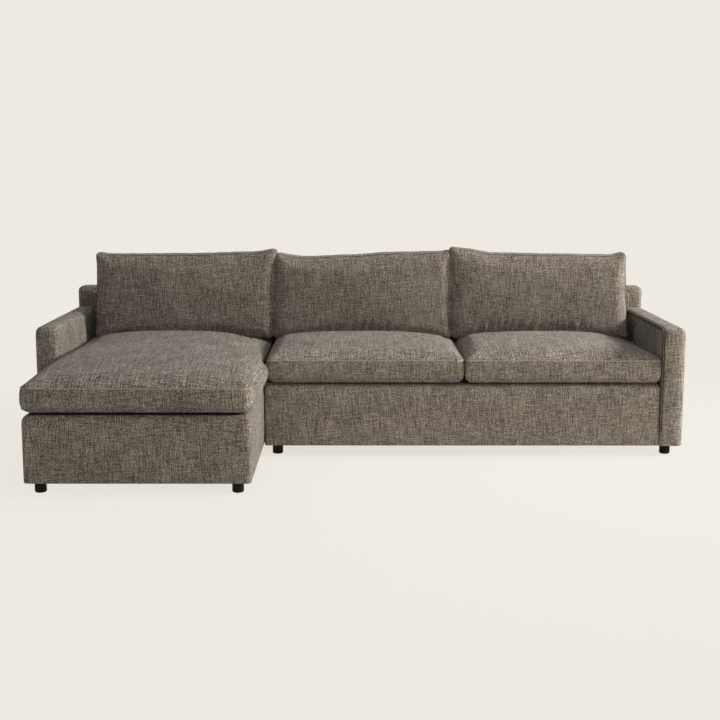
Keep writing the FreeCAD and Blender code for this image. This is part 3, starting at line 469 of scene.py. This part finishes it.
def rounded(point, low, high, radii):
    """Where a point of a sharp box lies on the rounded one."""
    core = point.copy()
    offset = Vector((0, 0, 0))
    for axis, (below, above) in enumerate(radii):
        if point[axis] < low[axis] + below:
            core[axis] = low[axis] + below
            offset[axis] = (point[axis] - core[axis]) / below
        elif point[axis] > high[axis] - above:
            core[axis] = high[axis] - above
            offset[axis] = (point[axis] - core[axis]) / above
    if offset.length > 1e-9:
        for axis, (below, above) in enumerate(radii):
            reach = below if offset[axis] < 0 else above
            core[axis] += offset[axis] / offset.length * reach
    return core


def puffed(point, low, high, puffs):
    """Move a point of a rounded box out where its faces stand proud and a little uneven."""
    margin = 0.07
    touching = 1e-6
    for axis in range(3):
        for way, plane, puff in zip((-1, 1), (low[axis], high[axis]), puffs[axis]):
            if puff and abs(point[axis] - plane) < touching:
                full = 1.0
                for other in range(3):
                    if other != axis:
                        edge = min(point[other] - low[other], high[other] - point[other])
                        full *= smooth_step(edge / margin)
                wave = noise.noise(point * RIPPLES_PER_METRE) * RIPPLE_HEIGHT
                point[axis] += way * (puff * full + wave * full)
    return point


def padded_box(name, low, high, radii, puffs, materials, open_below=False, cell=0.03):
    """An upholstered box.

    radii and puffs give, for each axis, the rounding and the fullness at its low and its high face.
    """
    mesh = bmesh.new()
    cache = {}
    lines = [lines_between(low[axis], high[axis], max(radii[axis]), 3, cell)
             for axis in range(3)]
    for axis in range(3):
        if not (open_below and axis == 2):
            box_side(mesh, cache, lines, axis, low[axis])
        box_side(mesh, cache, lines, axis, high[axis])
    for vertex in mesh.verts:
        vertex.co = puffed(rounded(vertex.co, low, high, radii), low, high, puffs)
    item = make_object(name, mesh, *materials)
    if open_below:
        thick = item.modifiers.new("cloth_and_foam", "SOLIDIFY")
        thick.thickness = COVER_WALL
        thick.offset = -1
    soften(item)
    return item


def soften(item):
    """One level of smoothing, in view and in renders."""
    smoothing = item.modifiers.new("soften", "SUBSURF")
    smoothing.levels = smoothing.render_levels = 1


# Outline and fullness of a cushion.

def corner_side(distance, radius):
    """A point of a rounded corner: how far along the side it lies and how far in."""
    if distance >= radius:
        return distance, 0.0
    turn = (1 - distance / radius) * math.pi / 4
    return radius - radius * math.sin(turn), radius - radius * math.cos(turn)


def outline_point(along, length, radius, draw):
    """A point of one side of a cushion's outline: it draws in soon after each corner."""
    reach = 0.08
    near_end = min(along, length - along)
    way, inward = corner_side(near_end, radius)
    if along > length / 2:
        way = length - way
    rise = 1 - min(near_end / reach, 1)
    return way, inward + draw * (1 - rise * rise)


def outward_way(place, width, length):
    """The way out of a cushion's outline, turning evenly round its corners."""
    reach = 0.03
    way = Vector((0, 0, 0))
    for axis, span in ((0, width), (1, length)):
        near_low = 1 - min(place[axis] / reach, 1)
        near_high = 1 - min((span - place[axis]) / reach, 1)
        way[axis] = near_high - near_low
    if way.length < 1e-6:
        way = Vector((place.x - width / 2, place.y - length / 2, 0))
    return way.normalized()


def rolled(distance, reach):
    """The height of a round edge at a distance from it, 0 to 1."""
    return math.sqrt(1 - (1 - min(max(distance / reach, 0), 1)) ** 2)


def dome(a, b, width, length):
    """The fullness of a back cushion: it rolls over soon and rises slowly to its middle."""
    edge, flatness, roll_share = 0.05, 2.2, 0.58
    roll, rise = 1.0, 1.0
    for place, span in ((a, width), (b, length)):
        roll *= rolled(min(place, span - place), edge)
        rise *= 1 - abs(2 * place / span - 1) ** flatness
    return roll_share * roll + (1 - roll_share) * rise


def pillow(shares):
    """The fullness of a seat cushion: it rises slowly from its front and its sides.

    shares gives how much of the rise comes as a short roll at its left and its right seam next to
    the back cushion. Towards the front that share is at least front_share.
    """
    side_edge, front_edge, back_edge = 0.045, 0.05, 0.08
    front_share, front_rise, front_roll = 0.45, 0.45, 0.3
    change_start, change_length, side_flatness, front_flatness = 0.8, 0.5, 3, 2.4

    def full(a, b, width, length):
        near = 1 - smooth_step((b - length + change_start) / change_length)
        share = shares[0] if a < width / 2 else shares[1]
        share += (max(share, front_share) - share) * near
        slow = 1 - abs(2 * a / width - 1) ** side_flatness
        across = share * rolled(min(a, width - a), side_edge) + (1 - share) * slow
        slow_front = 1 - max(1 - b / front_rise, 0.0) ** front_flatness
        front = front_roll * rolled(b, front_edge) + (1 - front_roll) * slow_front
        return across * front * rolled(length - b, back_edge)

    return full


def height_along(share, table):
    """A smooth height between the pairs of share and height in a table."""
    share = min(max(share, 0), 1)
    (first, low), (last, high) = next(
        pair for pair in zip(table, table[1:]) if share <= pair[1][0])
    return low + (high - low) * smooth_step((share - first) / (last - first))


def border(rows):
    """The points round the border of a grid of rows, in order."""
    return [*rows[0][:-1], *(row[-1] for row in rows[:-1]),
            *rows[-1][:0:-1], *(row[0] for row in rows[:0:-1])]


class Cushion:
    """A boxed cushion: a crowned panel on both faces and a band between their seams.

    It is made lying, a across, b along and c up. seams are the heights of its lower and upper seam,
    crowns the heights of the panels beyond them, draws how far its left, right, near and far side
    draw in, and roll is the radius of its lower edge.
    """

    def __init__(self, width, length, seams, crowns, corner, bulge, draws=(0, 0, 0, 0),
                 roll=0.0, full=dome):
        self.width, self.length = width, length
        self.low_seam, self.high_seam = seams
        self.deep = self.high_seam - self.low_seam
        self.crowns, self.full = crowns, full
        self.corner, self.draws, self.bulge, self.roll = corner, draws, bulge, roll
        self.across = lines_between(0, width, corner, 4, CUSHION_CELL)
        self.along = lines_between(0, length, corner, 4, CUSHION_CELL)
        self.rows = max(4, round(self.deep / CUSHION_CELL))
        self.mesh = bmesh.new()
        rings = self.build()
        self.mesh.verts.index_update()
        numbers = [[vertex.index for vertex in ring] for ring in rings]
        self.seam_rings = (numbers[2 if roll else 0], numbers[-1])
        self.held = sorted({*numbers[0], *numbers[-1]})

    def rim(self, index_a, index_b):
        """A point of the outline at a pair of grid lines on the border."""
        a, b = self.across[index_a], self.along[index_b]
        left, right, near, far = self.draws
        if index_b in (0, len(self.along) - 1):
            way, inward = outline_point(a, self.width, self.corner, far if index_b else near)
            return Vector((way, self.length - inward if index_b else inward, 0))
        way, inward = outline_point(b, self.length, self.corner, right if index_a else left)
        return Vector((self.width - inward if index_a else inward, way, 0))

    def inside(self, index_a, index_b):
        """A point of a panel, spread evenly between its sides."""
        last_a, last_b = len(self.across) - 1, len(self.along) - 1
        if index_a in (0, last_a) or index_b in (0, last_b):
            return self.rim(index_a, index_b)
        s = self.across[index_a] / self.width
        t = self.along[index_b] / self.length
        sides = (self.rim(index_a, 0) * (1 - t) + self.rim(index_a, last_b) * t
                 + self.rim(0, index_b) * (1 - s) + self.rim(last_a, index_b) * s)
        corners = (self.rim(0, 0) * (1 - s) * (1 - t) + self.rim(last_a, 0) * s * (1 - t)
                   + self.rim(0, last_b) * (1 - s) * t + self.rim(last_a, last_b) * s * t)
        return sides - corners

    def panel(self, level, crown):
        """One crowned face of the cushion, as rows of points."""
        rows = []
        for index_b, b in enumerate(self.along):
            row = []
            for index_a, a in enumerate(self.across):
                place = self.inside(index_a, index_b)
                place.z = level + crown * self.full(a, b, self.width, self.length)
                row.append(self.mesh.verts.new(place))
            rows.append(row)
        for low, high in zip(rows, rows[1:]):
            for index in range(len(low) - 1):
                smooth_face(self.mesh, (low[index], low[index + 1],
                                        high[index + 1], high[index]))
        return rows

    def draw_in(self, rows):
        """Make a panel smaller by the roll of the edge round it."""
        middle = Vector((self.width / 2, self.length / 2, 0))
        inner = Vector((self.width / 2 - self.roll, self.length / 2 - self.roll, 0))
        for row in rows:
            for vertex in row:
                for axis in (0, 1):
                    share = (vertex.co[axis] - middle[axis]) / middle[axis]
                    vertex.co[axis] = middle[axis] + share * inner[axis]

    def share_up(self, row):
        """How far up the band a row lies: the first rows follow its rolled edge."""
        if not self.roll:
            return row / self.rows
        first = self.roll / self.deep
        if row <= ROLL_ROWS:
            return first * (1 - math.cos(row / ROLL_ROWS * math.pi / 2))
        return first + (1 - first) * (row - ROLL_ROWS) / (self.rows - ROLL_ROWS)

    def band_ring(self, top, share):
        """A ring of the band's points at a share of its height, tucked in at its rolled edge."""
        height = share * self.deep
        reach = self.bulge * math.sin(math.pi * share) ** 0.8
        if height < self.roll:
            reach -= self.roll - math.sqrt(self.roll ** 2 - (self.roll - height) ** 2)
        ring = []
        for edge in top:
            place = edge.co + outward_way(edge.co, self.width, self.length) * reach
            place.z = self.low_seam + height
            ring.append(self.mesh.verts.new(place))
        return ring

    def build(self):
        """Both panels and the band; it returns the band's rings from low to high."""
        top = border(self.panel(self.high_seam, self.crowns[1]))
        lower_panel = self.panel(self.low_seam, -self.crowns[0])
        if self.roll:
            self.draw_in(lower_panel)
        rings = [border(lower_panel)]
        for row in range(1, self.rows):
            rings.append(self.band_ring(top, self.share_up(row)))
        rings.append(top)
        for low, high in zip(rings, rings[1:]):
            join_rings(self.mesh, low, high)
        return rings


# Filling and seams of a cushion.

def inflate(item, pinned):
    """Blow the cover up like a filled cushion, as cloth held at its seams."""
    rest = [vertex.co.copy() for vertex in item.data.vertices]
    group = item.vertex_groups.new(name="seams")
    group.add(pinned, 1.0, "REPLACE")
    cloth = item.modifiers.new("filling", "CLOTH")
    settings = cloth.settings
    settings.quality = 4
    settings.mass = 0.3
    settings.tension_stiffness = settings.compression_stiffness = 15
    settings.shear_stiffness = 5
    settings.bending_stiffness = 2.0
    settings.use_pressure = True
    settings.uniform_pressure_force = 4.0
    settings.shrink_min = -0.004
    settings.vertex_group_mass = group.name
    settings.effector_weights.gravity = 0
    cloth.collision_settings.use_self_collision = False
    cloth.point_cache.frame_start, cloth.point_cache.frame_end = 1, FILLING_FRAMES
    for step in range(1, FILLING_FRAMES + 1):
        bpy.context.scene.frame_set(step)
    filled = item.evaluated_get(bpy.context.evaluated_depsgraph_get())
    places = [vertex.co.copy() for vertex in filled.to_mesh().vertices]
    filled.to_mesh_clear()
    item.modifiers.remove(cloth)
    item.vertex_groups.clear()
    bpy.context.scene.frame_set(1)
    for vertex, start, place in zip(item.data.vertices, rest, places):
        move = place - start
        if move.length > FILLING_REACH:
            move *= FILLING_REACH / move.length
        vertex.co = start + move


def settle(item, cushion):
    """Bring the crowns back to their height after the filling has swelled them."""
    heights = [vertex.co.z for vertex in item.data.vertices]
    lower_crown, upper_crown = cushion.crowns
    for way, seam, crown, reached in ((1, cushion.high_seam, upper_crown, max(heights)),
                                      (-1, cushion.low_seam, lower_crown, min(heights))):
        for vertex in item.data.vertices:
            beyond = vertex.co.z - seam
            if way * beyond > 0:
                vertex.co.z = seam + way * crown * beyond / (reached - seam)


def sew_welts(item, seams, radius, thread):
    """Welts along both seams; the thread's material shows along the front of the upper one."""
    front_depth = 0.03
    mesh = bmesh.new()
    mesh.from_mesh(item.data)
    mesh.verts.ensure_lookup_table()
    lines = [[mesh.verts[index].co.copy() for index in ring] for ring in seams]
    for points, material in zip(lines, (0, thread)):
        add_tube(mesh, points, radius, closed=True, sides=6, material=material)
    front = min(vertex.co.y for vertex in mesh.verts)
    for face in mesh.faces:
        if face.material_index and face.calc_center_median().y > front + front_depth:
            face.material_index = 0
    bmesh.ops.recalc_face_normals(mesh, faces=mesh.faces)
    mesh.to_mesh(item.data)
    mesh.free()


def finish_cushion(cushion, node, body, to_place, welt, thread=0):
    """Fill a cushion, put it in the place of its CAD solid and sew welts of a radius on it."""
    item = make_object(f"{body}_pad", cushion.mesh, fabric_of(node), SEAM)
    inflate(item, cushion.held)
    settle(item, cushion)
    for vertex in item.data.vertices:
        vertex.co = to_place(vertex.co)
    sew_welts(item, cushion.seam_rings, welt, thread)
    soften(item)
    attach(item, body)
    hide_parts(node)


# Cushions.

def press(place):
    """Press a seat cushion's point down where a back cushion stands on it."""
    slope = 0.035
    under = smooth_step((place.y - (BACK_FOOT_FRONT - slope * 0.4)) / slope)
    if place.z > SEAT_REST:
        place.z += (SEAT_REST - place.z) * under


def swell_out(place, low, high, seam, swell):
    """Move a seat cushion's right side out where no other cushion is beside it."""
    start_reach, front_reach, side_reach = 0.12, 0.25, 0.22
    below_seam, half_height, least = 0.02, 0.075, 0.2
    ahead = smooth_step((FREE_SIDE_END - place.y) / start_reach)
    back_from_front = smooth_step((place.y - low.y) / front_reach)
    side = smooth_step((place.x - high.x + side_reach) / side_reach)
    belly = max(0.0, 1 - ((place.z - seam + below_seam) / half_height) ** 2)
    place.x += swell * ahead * (least + (1 - least) * back_from_front) * side * belly


def seat_cushion(node, body, seam, proud, shares, swell=0.0, corner=0.036):
    """A seat cushion in the place of its CAD solid, pressed down where a back cushion stands.

    proud is how far its left and right sides may stand out of the solid, shares is for pillow, and
    swell is how far its right side bulges in front of the other cushions.
    """
    low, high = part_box(node)
    inset, front_proud = 0.001, 0.004
    cushion = Cushion((high - low).x - 2 * inset, (high - low).y - 2 * inset, (0.0, seam - low.z),
                      (0.0, SEAT_TOP - seam), corner, 0.007, roll=0.044, full=pillow(shares))

    def to_place(point):
        place = Vector((low.x + inset + point.x, low.y + inset + point.y, low.z + point.z))
        press(place)
        if swell:
            swell_out(place, low, high, seam, swell)
        place.z = max(place.z, low.z)
        place.y = min(max(place.y, low.y - front_proud), high.y)
        if not swell or place.y > FREE_SIDE_END:
            place.x = min(place.x, high.x + proud[1])
        place.x = max(place.x, low.x - proud[0])
        return place

    finish_cushion(cushion, node, body, to_place, 0.0015, thread=1)


def gather(place, low, high, share, span):
    """Pucker a back cushion's front near its lower edge, over a part of its width."""
    pitch, depth, push, height, spread, fade = 0.043, 0.0075, 0.004, 0.055, 0.03, 12
    wander, bends_per_metre = 0.03, 7
    start, end = span
    if start < share < end and place.y < high.y - (high - low).y / 2:
        fullness = smooth_step((share - start) * fade) * smooth_step((end - share) * fade)
        shift = wander * noise.noise(place * bends_per_metre)
        wave = math.sin(2 * math.pi * (place.x + shift) / pitch)
        level = math.exp(-((place.z - low.z - height) / spread) ** 2)
        place.y += (depth * wave + push) * fullness * level


def back_cushion(node, body, left, right, top, draws, puckers=None):
    """A back cushion standing on a seat cushion, crowned in front.

    left and right are the places of its lower and upper corners, top is a table of its upper edge's
    height, draws is how far its sides draw in, and puckers is the part of its width that is
    gathered along the lower edge.
    """
    low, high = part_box(node)
    size = high - low
    width = right[0] - left[0]
    back_seam, front_seam, crowns, top_draw = 0.03, 0.044, (0.014, 0.04), 0.007
    cushion = Cushion(width, size.z, (back_seam, size.y - front_seam), crowns, 0.022, 0.006,
                      draws=(*draws, 0.0, top_draw))

    def to_place(point):
        place = Vector((left[0] + point.x, high.y - point.z, low.z + point.y))
        share = (place.x - left[0]) / width
        level = (place.z - low.z) / size.z
        lean = (left[1] - left[0]) * (1 - share) + (right[1] - right[0]) * share
        place.x += lean * level
        place.z += (height_along(share, top) - high.z) * max(level, 0) ** 2
        if puckers:
            gather(place, low, high, share, puckers)
        place.z = max(place.z, low.z)
        place.y = min(place.y, high.y)
        return place

    finish_cushion(cushion, node, body, to_place, 0.002)


def cushions():
    """Three seat cushions and three back cushions."""
    seat_cushion("chaise_seat_cushion", "chaise_seat", 0.448,
                 proud=(0.001, 0.0), shares=(0.25, 0.0), swell=0.028)
    seat_cushion("seat_cushion_left", "left_seat", 0.453,
                 proud=(0.006, 0.001), shares=(0.55, 0.3))
    seat_cushion("seat_cushion_right", "right_seat", 0.453,
                 proud=(0.001, 0.003), shares=(0.55, 0.0), corner=0.022)
    back_cushion("chaise_back_cushion", "chaise_back",
                 left=(-1.364, -1.349), right=(-0.45, -0.431),
                 top=((0, 0.914), (0.08, 0.909), (0.5, 0.911), (0.85, 0.919), (1, 0.932)),
                 draws=(0.009, 0.001))
    back_cushion("back_cushion_middle", "middle_back",
                 left=(-0.449, -0.43), right=(0.467, 0.457),
                 top=((0, 0.912), (0.17, 0.896), (0.42, 0.905), (0.68, 0.919), (0.95, 0.923),
                      (1, 0.927)),
                 draws=(0.001, 0.001), puckers=(0.4, 0.75))
    back_cushion("back_cushion_right", "right_back",
                 left=(0.468, 0.458), right=(1.376, 1.353),
                 top=((0, 0.943), (0.05, 0.94), (0.27, 0.916), (0.6, 0.911), (0.92, 0.907),
                      (1, 0.917)),
                 draws=(0.001, 0.006), puckers=(0.1, 0.8))


# Covers of the bases, the arms and the backs.

def cover(name, node, radii, puffs, box=None, open_below=True):
    """A padded cover in the place of its CAD solid, or in a box near it."""
    low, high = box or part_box(node)
    item = padded_box(name, low, high, radii, puffs, (fabric_of(node),), open_below)
    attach(item, "sofa_base")
    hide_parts(node)
    return item


def deck_cloth(item, low, high):
    """Plain dark cloth on top of a cover, under the seat cushions."""
    edge, flat = 0.026, 0.9
    item.data.materials.append(DECK_CLOTH)
    for face in item.data.polygons:
        inside = all(low[axis] + edge < face.center[axis] < high[axis] - edge for axis in (0, 1))
        if face.normal.z > flat and inside:
            face.material_index = 1


def base_covers():
    """The covers of the chaise's base and of the bed unit's front rail."""
    overhang, groove = 0.012, 0.003
    low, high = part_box("chaise_base_cover")
    low.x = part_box("chaise_dust_cover")[0][0] - overhang
    high = high - Vector((0, 0, groove))
    base = cover("chaise_base_pad", "chaise_base_cover",
                 ((0.026, 0.02), (0.022, 0), (0, 0.035)),
                 ((0, 0.003), (PUFF, 0), (0, 0)), box=(low, high))
    deck_cloth(base, low, high)
    rail = cover("sleeper_rail_pad", "sleeper_rail_cover",
                 ((0.01, 0.02), (0.026, 0.012), (0, 0.028)),
                 ((0, 0), (PUFF, 0), (0, 0.0015)))
    deck_cloth(rail, *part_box("sleeper_rail_cover"))


def arm_cover(prefix, edges, puffs, move_low, move_high):
    """The cover of an arm; the moves shift its solid's corners to fit the photograph."""
    node = f"{prefix}_arm_cover"
    low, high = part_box(node)
    box = (low + Vector(move_low), high + Vector(move_high))
    arm = cover(f"{prefix}_arm_pad", node, (edges, (0.028, 0), (0, 0.028)),
                (puffs, (0.003, 0), (0, 0.002)), box=box)
    return arm, *box


def arm_welt(arm, low, high):
    """The corded seam on the right arm's inner edge, between two lines of dark thread."""
    turn, steps, inset, outside, above_bottom, before_back = 0.028, 8, 0.0015, 0.006, 0.01, 0.03
    side, front, top = low.x - outside, low.y + inset, high.z - inset
    back, bottom = high.y - before_back, low.z + above_bottom
    points = [Vector((side, depth, top)) for depth in (back, (low.y + back) / 2)]
    for step in range(steps + 1):
        angle = step / steps * math.pi / 2
        points.append(Vector((side, front + turn - turn * math.sin(angle),
                              top - turn + turn * math.cos(angle))))
    points += [Vector((side, front, level)) for level in ((high.z + bottom) / 2, bottom)]
    arm.data.materials.append(DARK_THREAD)
    mesh = bmesh.new()
    mesh.from_mesh(arm.data)
    for shift, radius, material in ((0.003, 0.0032, 0), (-0.001, 0.0011, 1), (0.0075, 0.0011, 1)):
        add_tube(mesh, [point + Vector((shift, 0, 0)) for point in points], radius,
                 material=material)
    mesh.to_mesh(arm.data)
    mesh.free()


def back_shell(prefix, edges):
    """The cover of a low back; edges rounds its left and its right."""
    node = f"{prefix}_back_cover"
    low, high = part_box(node)
    cover(f"{prefix}_back_shell", node, (edges, (0.024, 0.024), (0, 0.026)),
          ((0, 0), (0, PUFF), (0, 0)), box=(low, high - Vector((0, 0, 0.002))))


def covers():
    """Every upholstered part that stays on the base."""
    base_covers()
    arm_cover("chaise", (0.03, 0.03), (0.003, 0.002), (-0.004, -0.003, 0), (0, 0, 0.003))
    back_shell("chaise", (0.028, 0.004))
    arm_welt(*arm_cover("sleeper", (0.006, 0.03), (0.0, 0.004), (0, -0.002, 0),
                        (0.004, 0, -0.002)))
    back_shell("sleeper", (0.004, 0.028))
    for node in ("chaise_inner_back", "side_filler_left", "side_filler_right"):
        cover(f"{node}_pad", node, ((0.006, 0.006), (0.014, 0.004), (0.004, 0.014)),
              ((0, 0), (0, 0), (0, 0.002)), open_below=False)


# The bed's mattress.

def broad_axes(low, high):
    """The thin axis of a flat box, and the two others."""
    thin = min(range(3), key=lambda axis: high[axis] - low[axis])
    return thin, *(axis for axis in range(3) if axis != thin)


def quilt(mesh, low, high):
    """Press diamonds of stitching into both broad faces of a mattress."""
    pitch, deep, near, sharpness = 0.16, 0.009, 0.002, 0.4
    thin, across, along = broad_axes(low, high)
    for vertex in mesh.verts:
        for plane, way in ((low[thin], 1), (high[thin], -1)):
            if abs(vertex.co[thin] - plane) < near:
                turns = [math.pi * (vertex.co[across] + sign * vertex.co[along]) / pitch
                         for sign in (1, -1)]
                crest = abs(math.sin(turns[0]) * math.sin(turns[1])) ** sharpness
                vertex.co[thin] += way * deep * (1 - crest)


def tape_edges(mesh, low, high):
    """Tape along the edges of both broad faces of a mattress."""
    inset, turn, steps, radius = 0.005, 0.012, 3, 0.0045
    thin, across, along = broad_axes(low, high)
    for plane in (low[thin] + inset, high[thin] - inset):
        points = []
        for corner, (way_a, way_b) in enumerate(((1, 1), (-1, 1), (-1, -1), (1, -1))):
            middle_a = (low if way_a > 0 else high)[across] + (inset + turn) * way_a
            middle_b = (low if way_b > 0 else high)[along] + (inset + turn) * way_b
            for step in range(steps + 1):
                angle = math.pi * (1 + corner / 2) + step / steps * math.pi / 2
                point = Vector((0, 0, 0))
                point[thin] = plane
                point[across] = middle_a + turn * math.cos(angle)
                point[along] = middle_b + turn * math.sin(angle)
                points.append(point)
        add_tube(mesh, points, radius, closed=True, material=1)


def mattress(node, body):
    """One section of the mattress: quilted ticking with tape edges."""
    low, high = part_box(node)
    item = padded_box(f"{node}_pad", low, high, ((0.014, 0.014),) * 3, ((0, 0),) * 3,
                      (TICKING, TAPE), cell=0.02)
    mesh = bmesh.new()
    mesh.from_mesh(item.data)
    quilt(mesh, low, high)
    tape_edges(mesh, low, high)
    mesh.to_mesh(item.data)
    mesh.free()
    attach(item, body)
    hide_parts(node)


def mattresses():
    """The three sections of the fold-out bed's mattress."""
    for section in ("head", "middle", "foot"):
        mattress(f"{section}_mattress", f"{section}_section")


# Cloths stretched over the frames.

def cloth_strip(mesh, low, high, sag):
    """A flat cloth in a thin box, with stitches along its border."""
    cell, hem, stitch, steepness = 0.04, 0.014, 0.0008, 4
    thin, across, along = broad_axes(low, high)
    middle = (low[thin] + high[thin]) / 2

    def place(a, b):
        full = 1.0
        for value, axis in ((a, across), (b, along)):
            full *= smooth_step(min(value - low[axis], high[axis] - value)
                                / (high[axis] - low[axis]) * steepness)
        point = Vector((0, 0, 0))
        point[thin], point[across], point[along] = middle - sag * full, a, b
        return point

    lines = []
    for axis in (across, along):
        span = high[axis] - low[axis]
        count = max(2, round(span / cell))
        lines.append([low[axis] + span * step / count for step in range(count + 1)])
    face_grid(mesh, {}, place, *lines)
    left, right = low[across] + hem, high[across] - hem
    near, far = low[along] + hem, high[along] - hem
    corners = [place(left, near), place(right, near), place(right, far), place(left, far)]
    add_tube(mesh, corners, stitch, closed=True, sides=5, material=1)


def stretched_cloth(node, body, slot, boxes=None, sag=0.0):
    """A cloth, or a set of straps in boxes, pulled tight over a frame."""
    low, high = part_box(node)
    boxes = boxes or [(low, high)]
    _, across, along = broad_axes(low, high)
    mesh = bmesh.new()
    for strip_low, strip_high in boxes:
        cloth_strip(mesh, strip_low, strip_high, sag)
    item = make_object(f"{node}_cloth", mesh, NODE_MATERIALS[slot], DARK_THREAD)
    thick = item.modifiers.new("cloth", "SOLIDIFY")
    thick.thickness, thick.offset = 0.0012, 0.0
    width = sum(strip_high[along] - strip_low[along] for strip_low, strip_high in boxes)
    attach(item, body)
    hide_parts(node)


def cloths():
    """The bed's decks, the webbing of the chaise and the dust covers."""
    for section in ("head", "middle", "foot"):
        stretched_cloth(f"{section}_deck", f"{section}_section", "deck_cloth")
    low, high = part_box("chaise_webbing")
    count, wide = 11, 0.06
    pitch = (high.y - low.y - wide) / (count - 1)
    straps = [(Vector((low.x, low.y + pitch * index, low.z)),
               Vector((high.x, low.y + pitch * index + wide, high.z))) for index in range(count)]
    stretched_cloth("chaise_webbing", "sofa_base", "webbing",
                    boxes=straps, sag=0.003)
    for prefix in ("chaise", "sleeper"):
        stretched_cloth(f"{prefix}_dust_cover", "sofa_base", "dust_cloth")


def dress_cad_nodes():
    """Give every CAD node that stays in view its finish."""
    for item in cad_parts.values():
        for place in item.material_slots:
            for slot, material in NODE_MATERIALS.items():
                if place.material and place.material.name.startswith(slot):
                    place.material = material


# Studio.

def mix_shaders(tree, share, first, second, output):
    """Mix two shaders of a node tree by a share into its output."""
    mixed = tree.nodes.new("ShaderNodeMixShader")
    for source, socket in zip((share, first, second), mixed.inputs):
        tree.links.new(source, socket)
    tree.links.new(mixed.outputs[0], tree.nodes[output].inputs["Surface"])


def backdrop_material():
    """A pale surface that shows the backdrop's colour, with soft shadows round the sofa."""
    recipe = Recipe("studio_floor", BACKDROP_COLOUR, 1.0)
    recipe.set("Base Color", linear(BACKDROP_COLOUR))
    recipe.set("Specular IOR Level", 0.0)
    paths = recipe.node("LightPath").outputs
    seen = recipe.calc("MAXIMUM", paths["Is Camera Ray"],
                       recipe.calc("MAXIMUM", paths["Is Glossy Ray"],
                                   paths["Is Transmission Ray"]))
    plain = recipe.node("Emission", linear(BACKDROP_COLOUR))
    x, y, _ = recipe.split(recipe.place)
    distance = recipe.calc("SQRT", recipe.plus(recipe.calc("POWER", x, 2.0),
                                               recipe.calc("POWER", y, 2.0)))
    share_at_sofa, rise_per_metre = 0.85, 0.045
    plain_share = recipe.plus(recipe.times(distance, rise_per_metre), share_at_sofa)
    share = recipe.times(seen, recipe.calc("MINIMUM", plain_share, 1.0))
    mix_shaders(recipe.material.node_tree, share, recipe.shader.outputs[0], plain.outputs[0],
                "Material Output")
    return recipe.material


def studio_floor():
    """A large floor under the sofa."""
    reach = 30
    mesh = bmesh.new()
    corners = [mesh.verts.new((x * reach, y * reach, 0))
               for x, y in ((-1, -1), (1, -1), (1, 1), (-1, 1))]
    mesh.faces.new(corners)
    make_object("studio_floor", mesh, backdrop_material())


def studio_world():
    """A backdrop of one colour to the camera, and soft light on the sofa."""
    world = bpy.data.worlds.new("studio")
    bpy.context.scene.world = world
    world.use_nodes = True
    nodes = world.node_tree.nodes
    seen = nodes["Background"]
    seen.inputs["Color"].default_value = linear(BACKDROP_COLOUR)
    soft = nodes.new("ShaderNodeBackground")
    soft.inputs["Color"].default_value = SKY_COLOUR
    soft.inputs["Strength"].default_value = SKY_STRENGTH
    paths = nodes.new("ShaderNodeLightPath").outputs
    either = nodes.new("ShaderNodeMath")
    either.operation = "MAXIMUM"
    for name, socket in zip(("Is Camera Ray", "Is Transmission Ray"), either.inputs):
        world.node_tree.links.new(paths[name], socket)
    mix_shaders(world.node_tree, either.outputs[0], soft.outputs[0], seen.outputs[0],
                "World Output")


def studio_lamps():
    """Square area lamps."""
    for name, place, width, power in LAMPS:
        data = bpy.data.lights.new(name, "AREA")
        data.size = width
        data.energy = power
        lamp = bpy.data.objects.new(name, data)
        lamp.location = place
        lamp.rotation_euler = (LAMP_AIM - Vector(place)).to_track_quat("-Z", "Y").to_euler()
        bpy.context.scene.collection.objects.link(lamp)


def camera():
    """The photograph's camera."""
    data = bpy.data.cameras.new("photo_camera")
    data.sensor_width = SENSOR_WIDTH
    data.lens = FOCAL_PIXELS / IMAGE_SIZE * SENSOR_WIDTH
    item = bpy.data.objects.new("photo_camera", data)
    item.matrix_world = (Matrix.Translation(CAMERA_PLACE) @ Matrix.Rotation(CAMERA_YAW, 4, "Z")
                         @ Matrix.Rotation(math.pi / 2 - CAMERA_PITCH, 4, "X")
                         @ Matrix.Rotation(CAMERA_ROLL, 4, "Z"))
    bpy.context.scene.collection.objects.link(item)
    bpy.context.scene.camera = item


camera()
studio_floor()
studio_world()
studio_lamps()
cushions()
covers()
mattresses()
cloths()
dress_cad_nodes()
bpy.context.scene.view_settings.view_transform = "Standard"
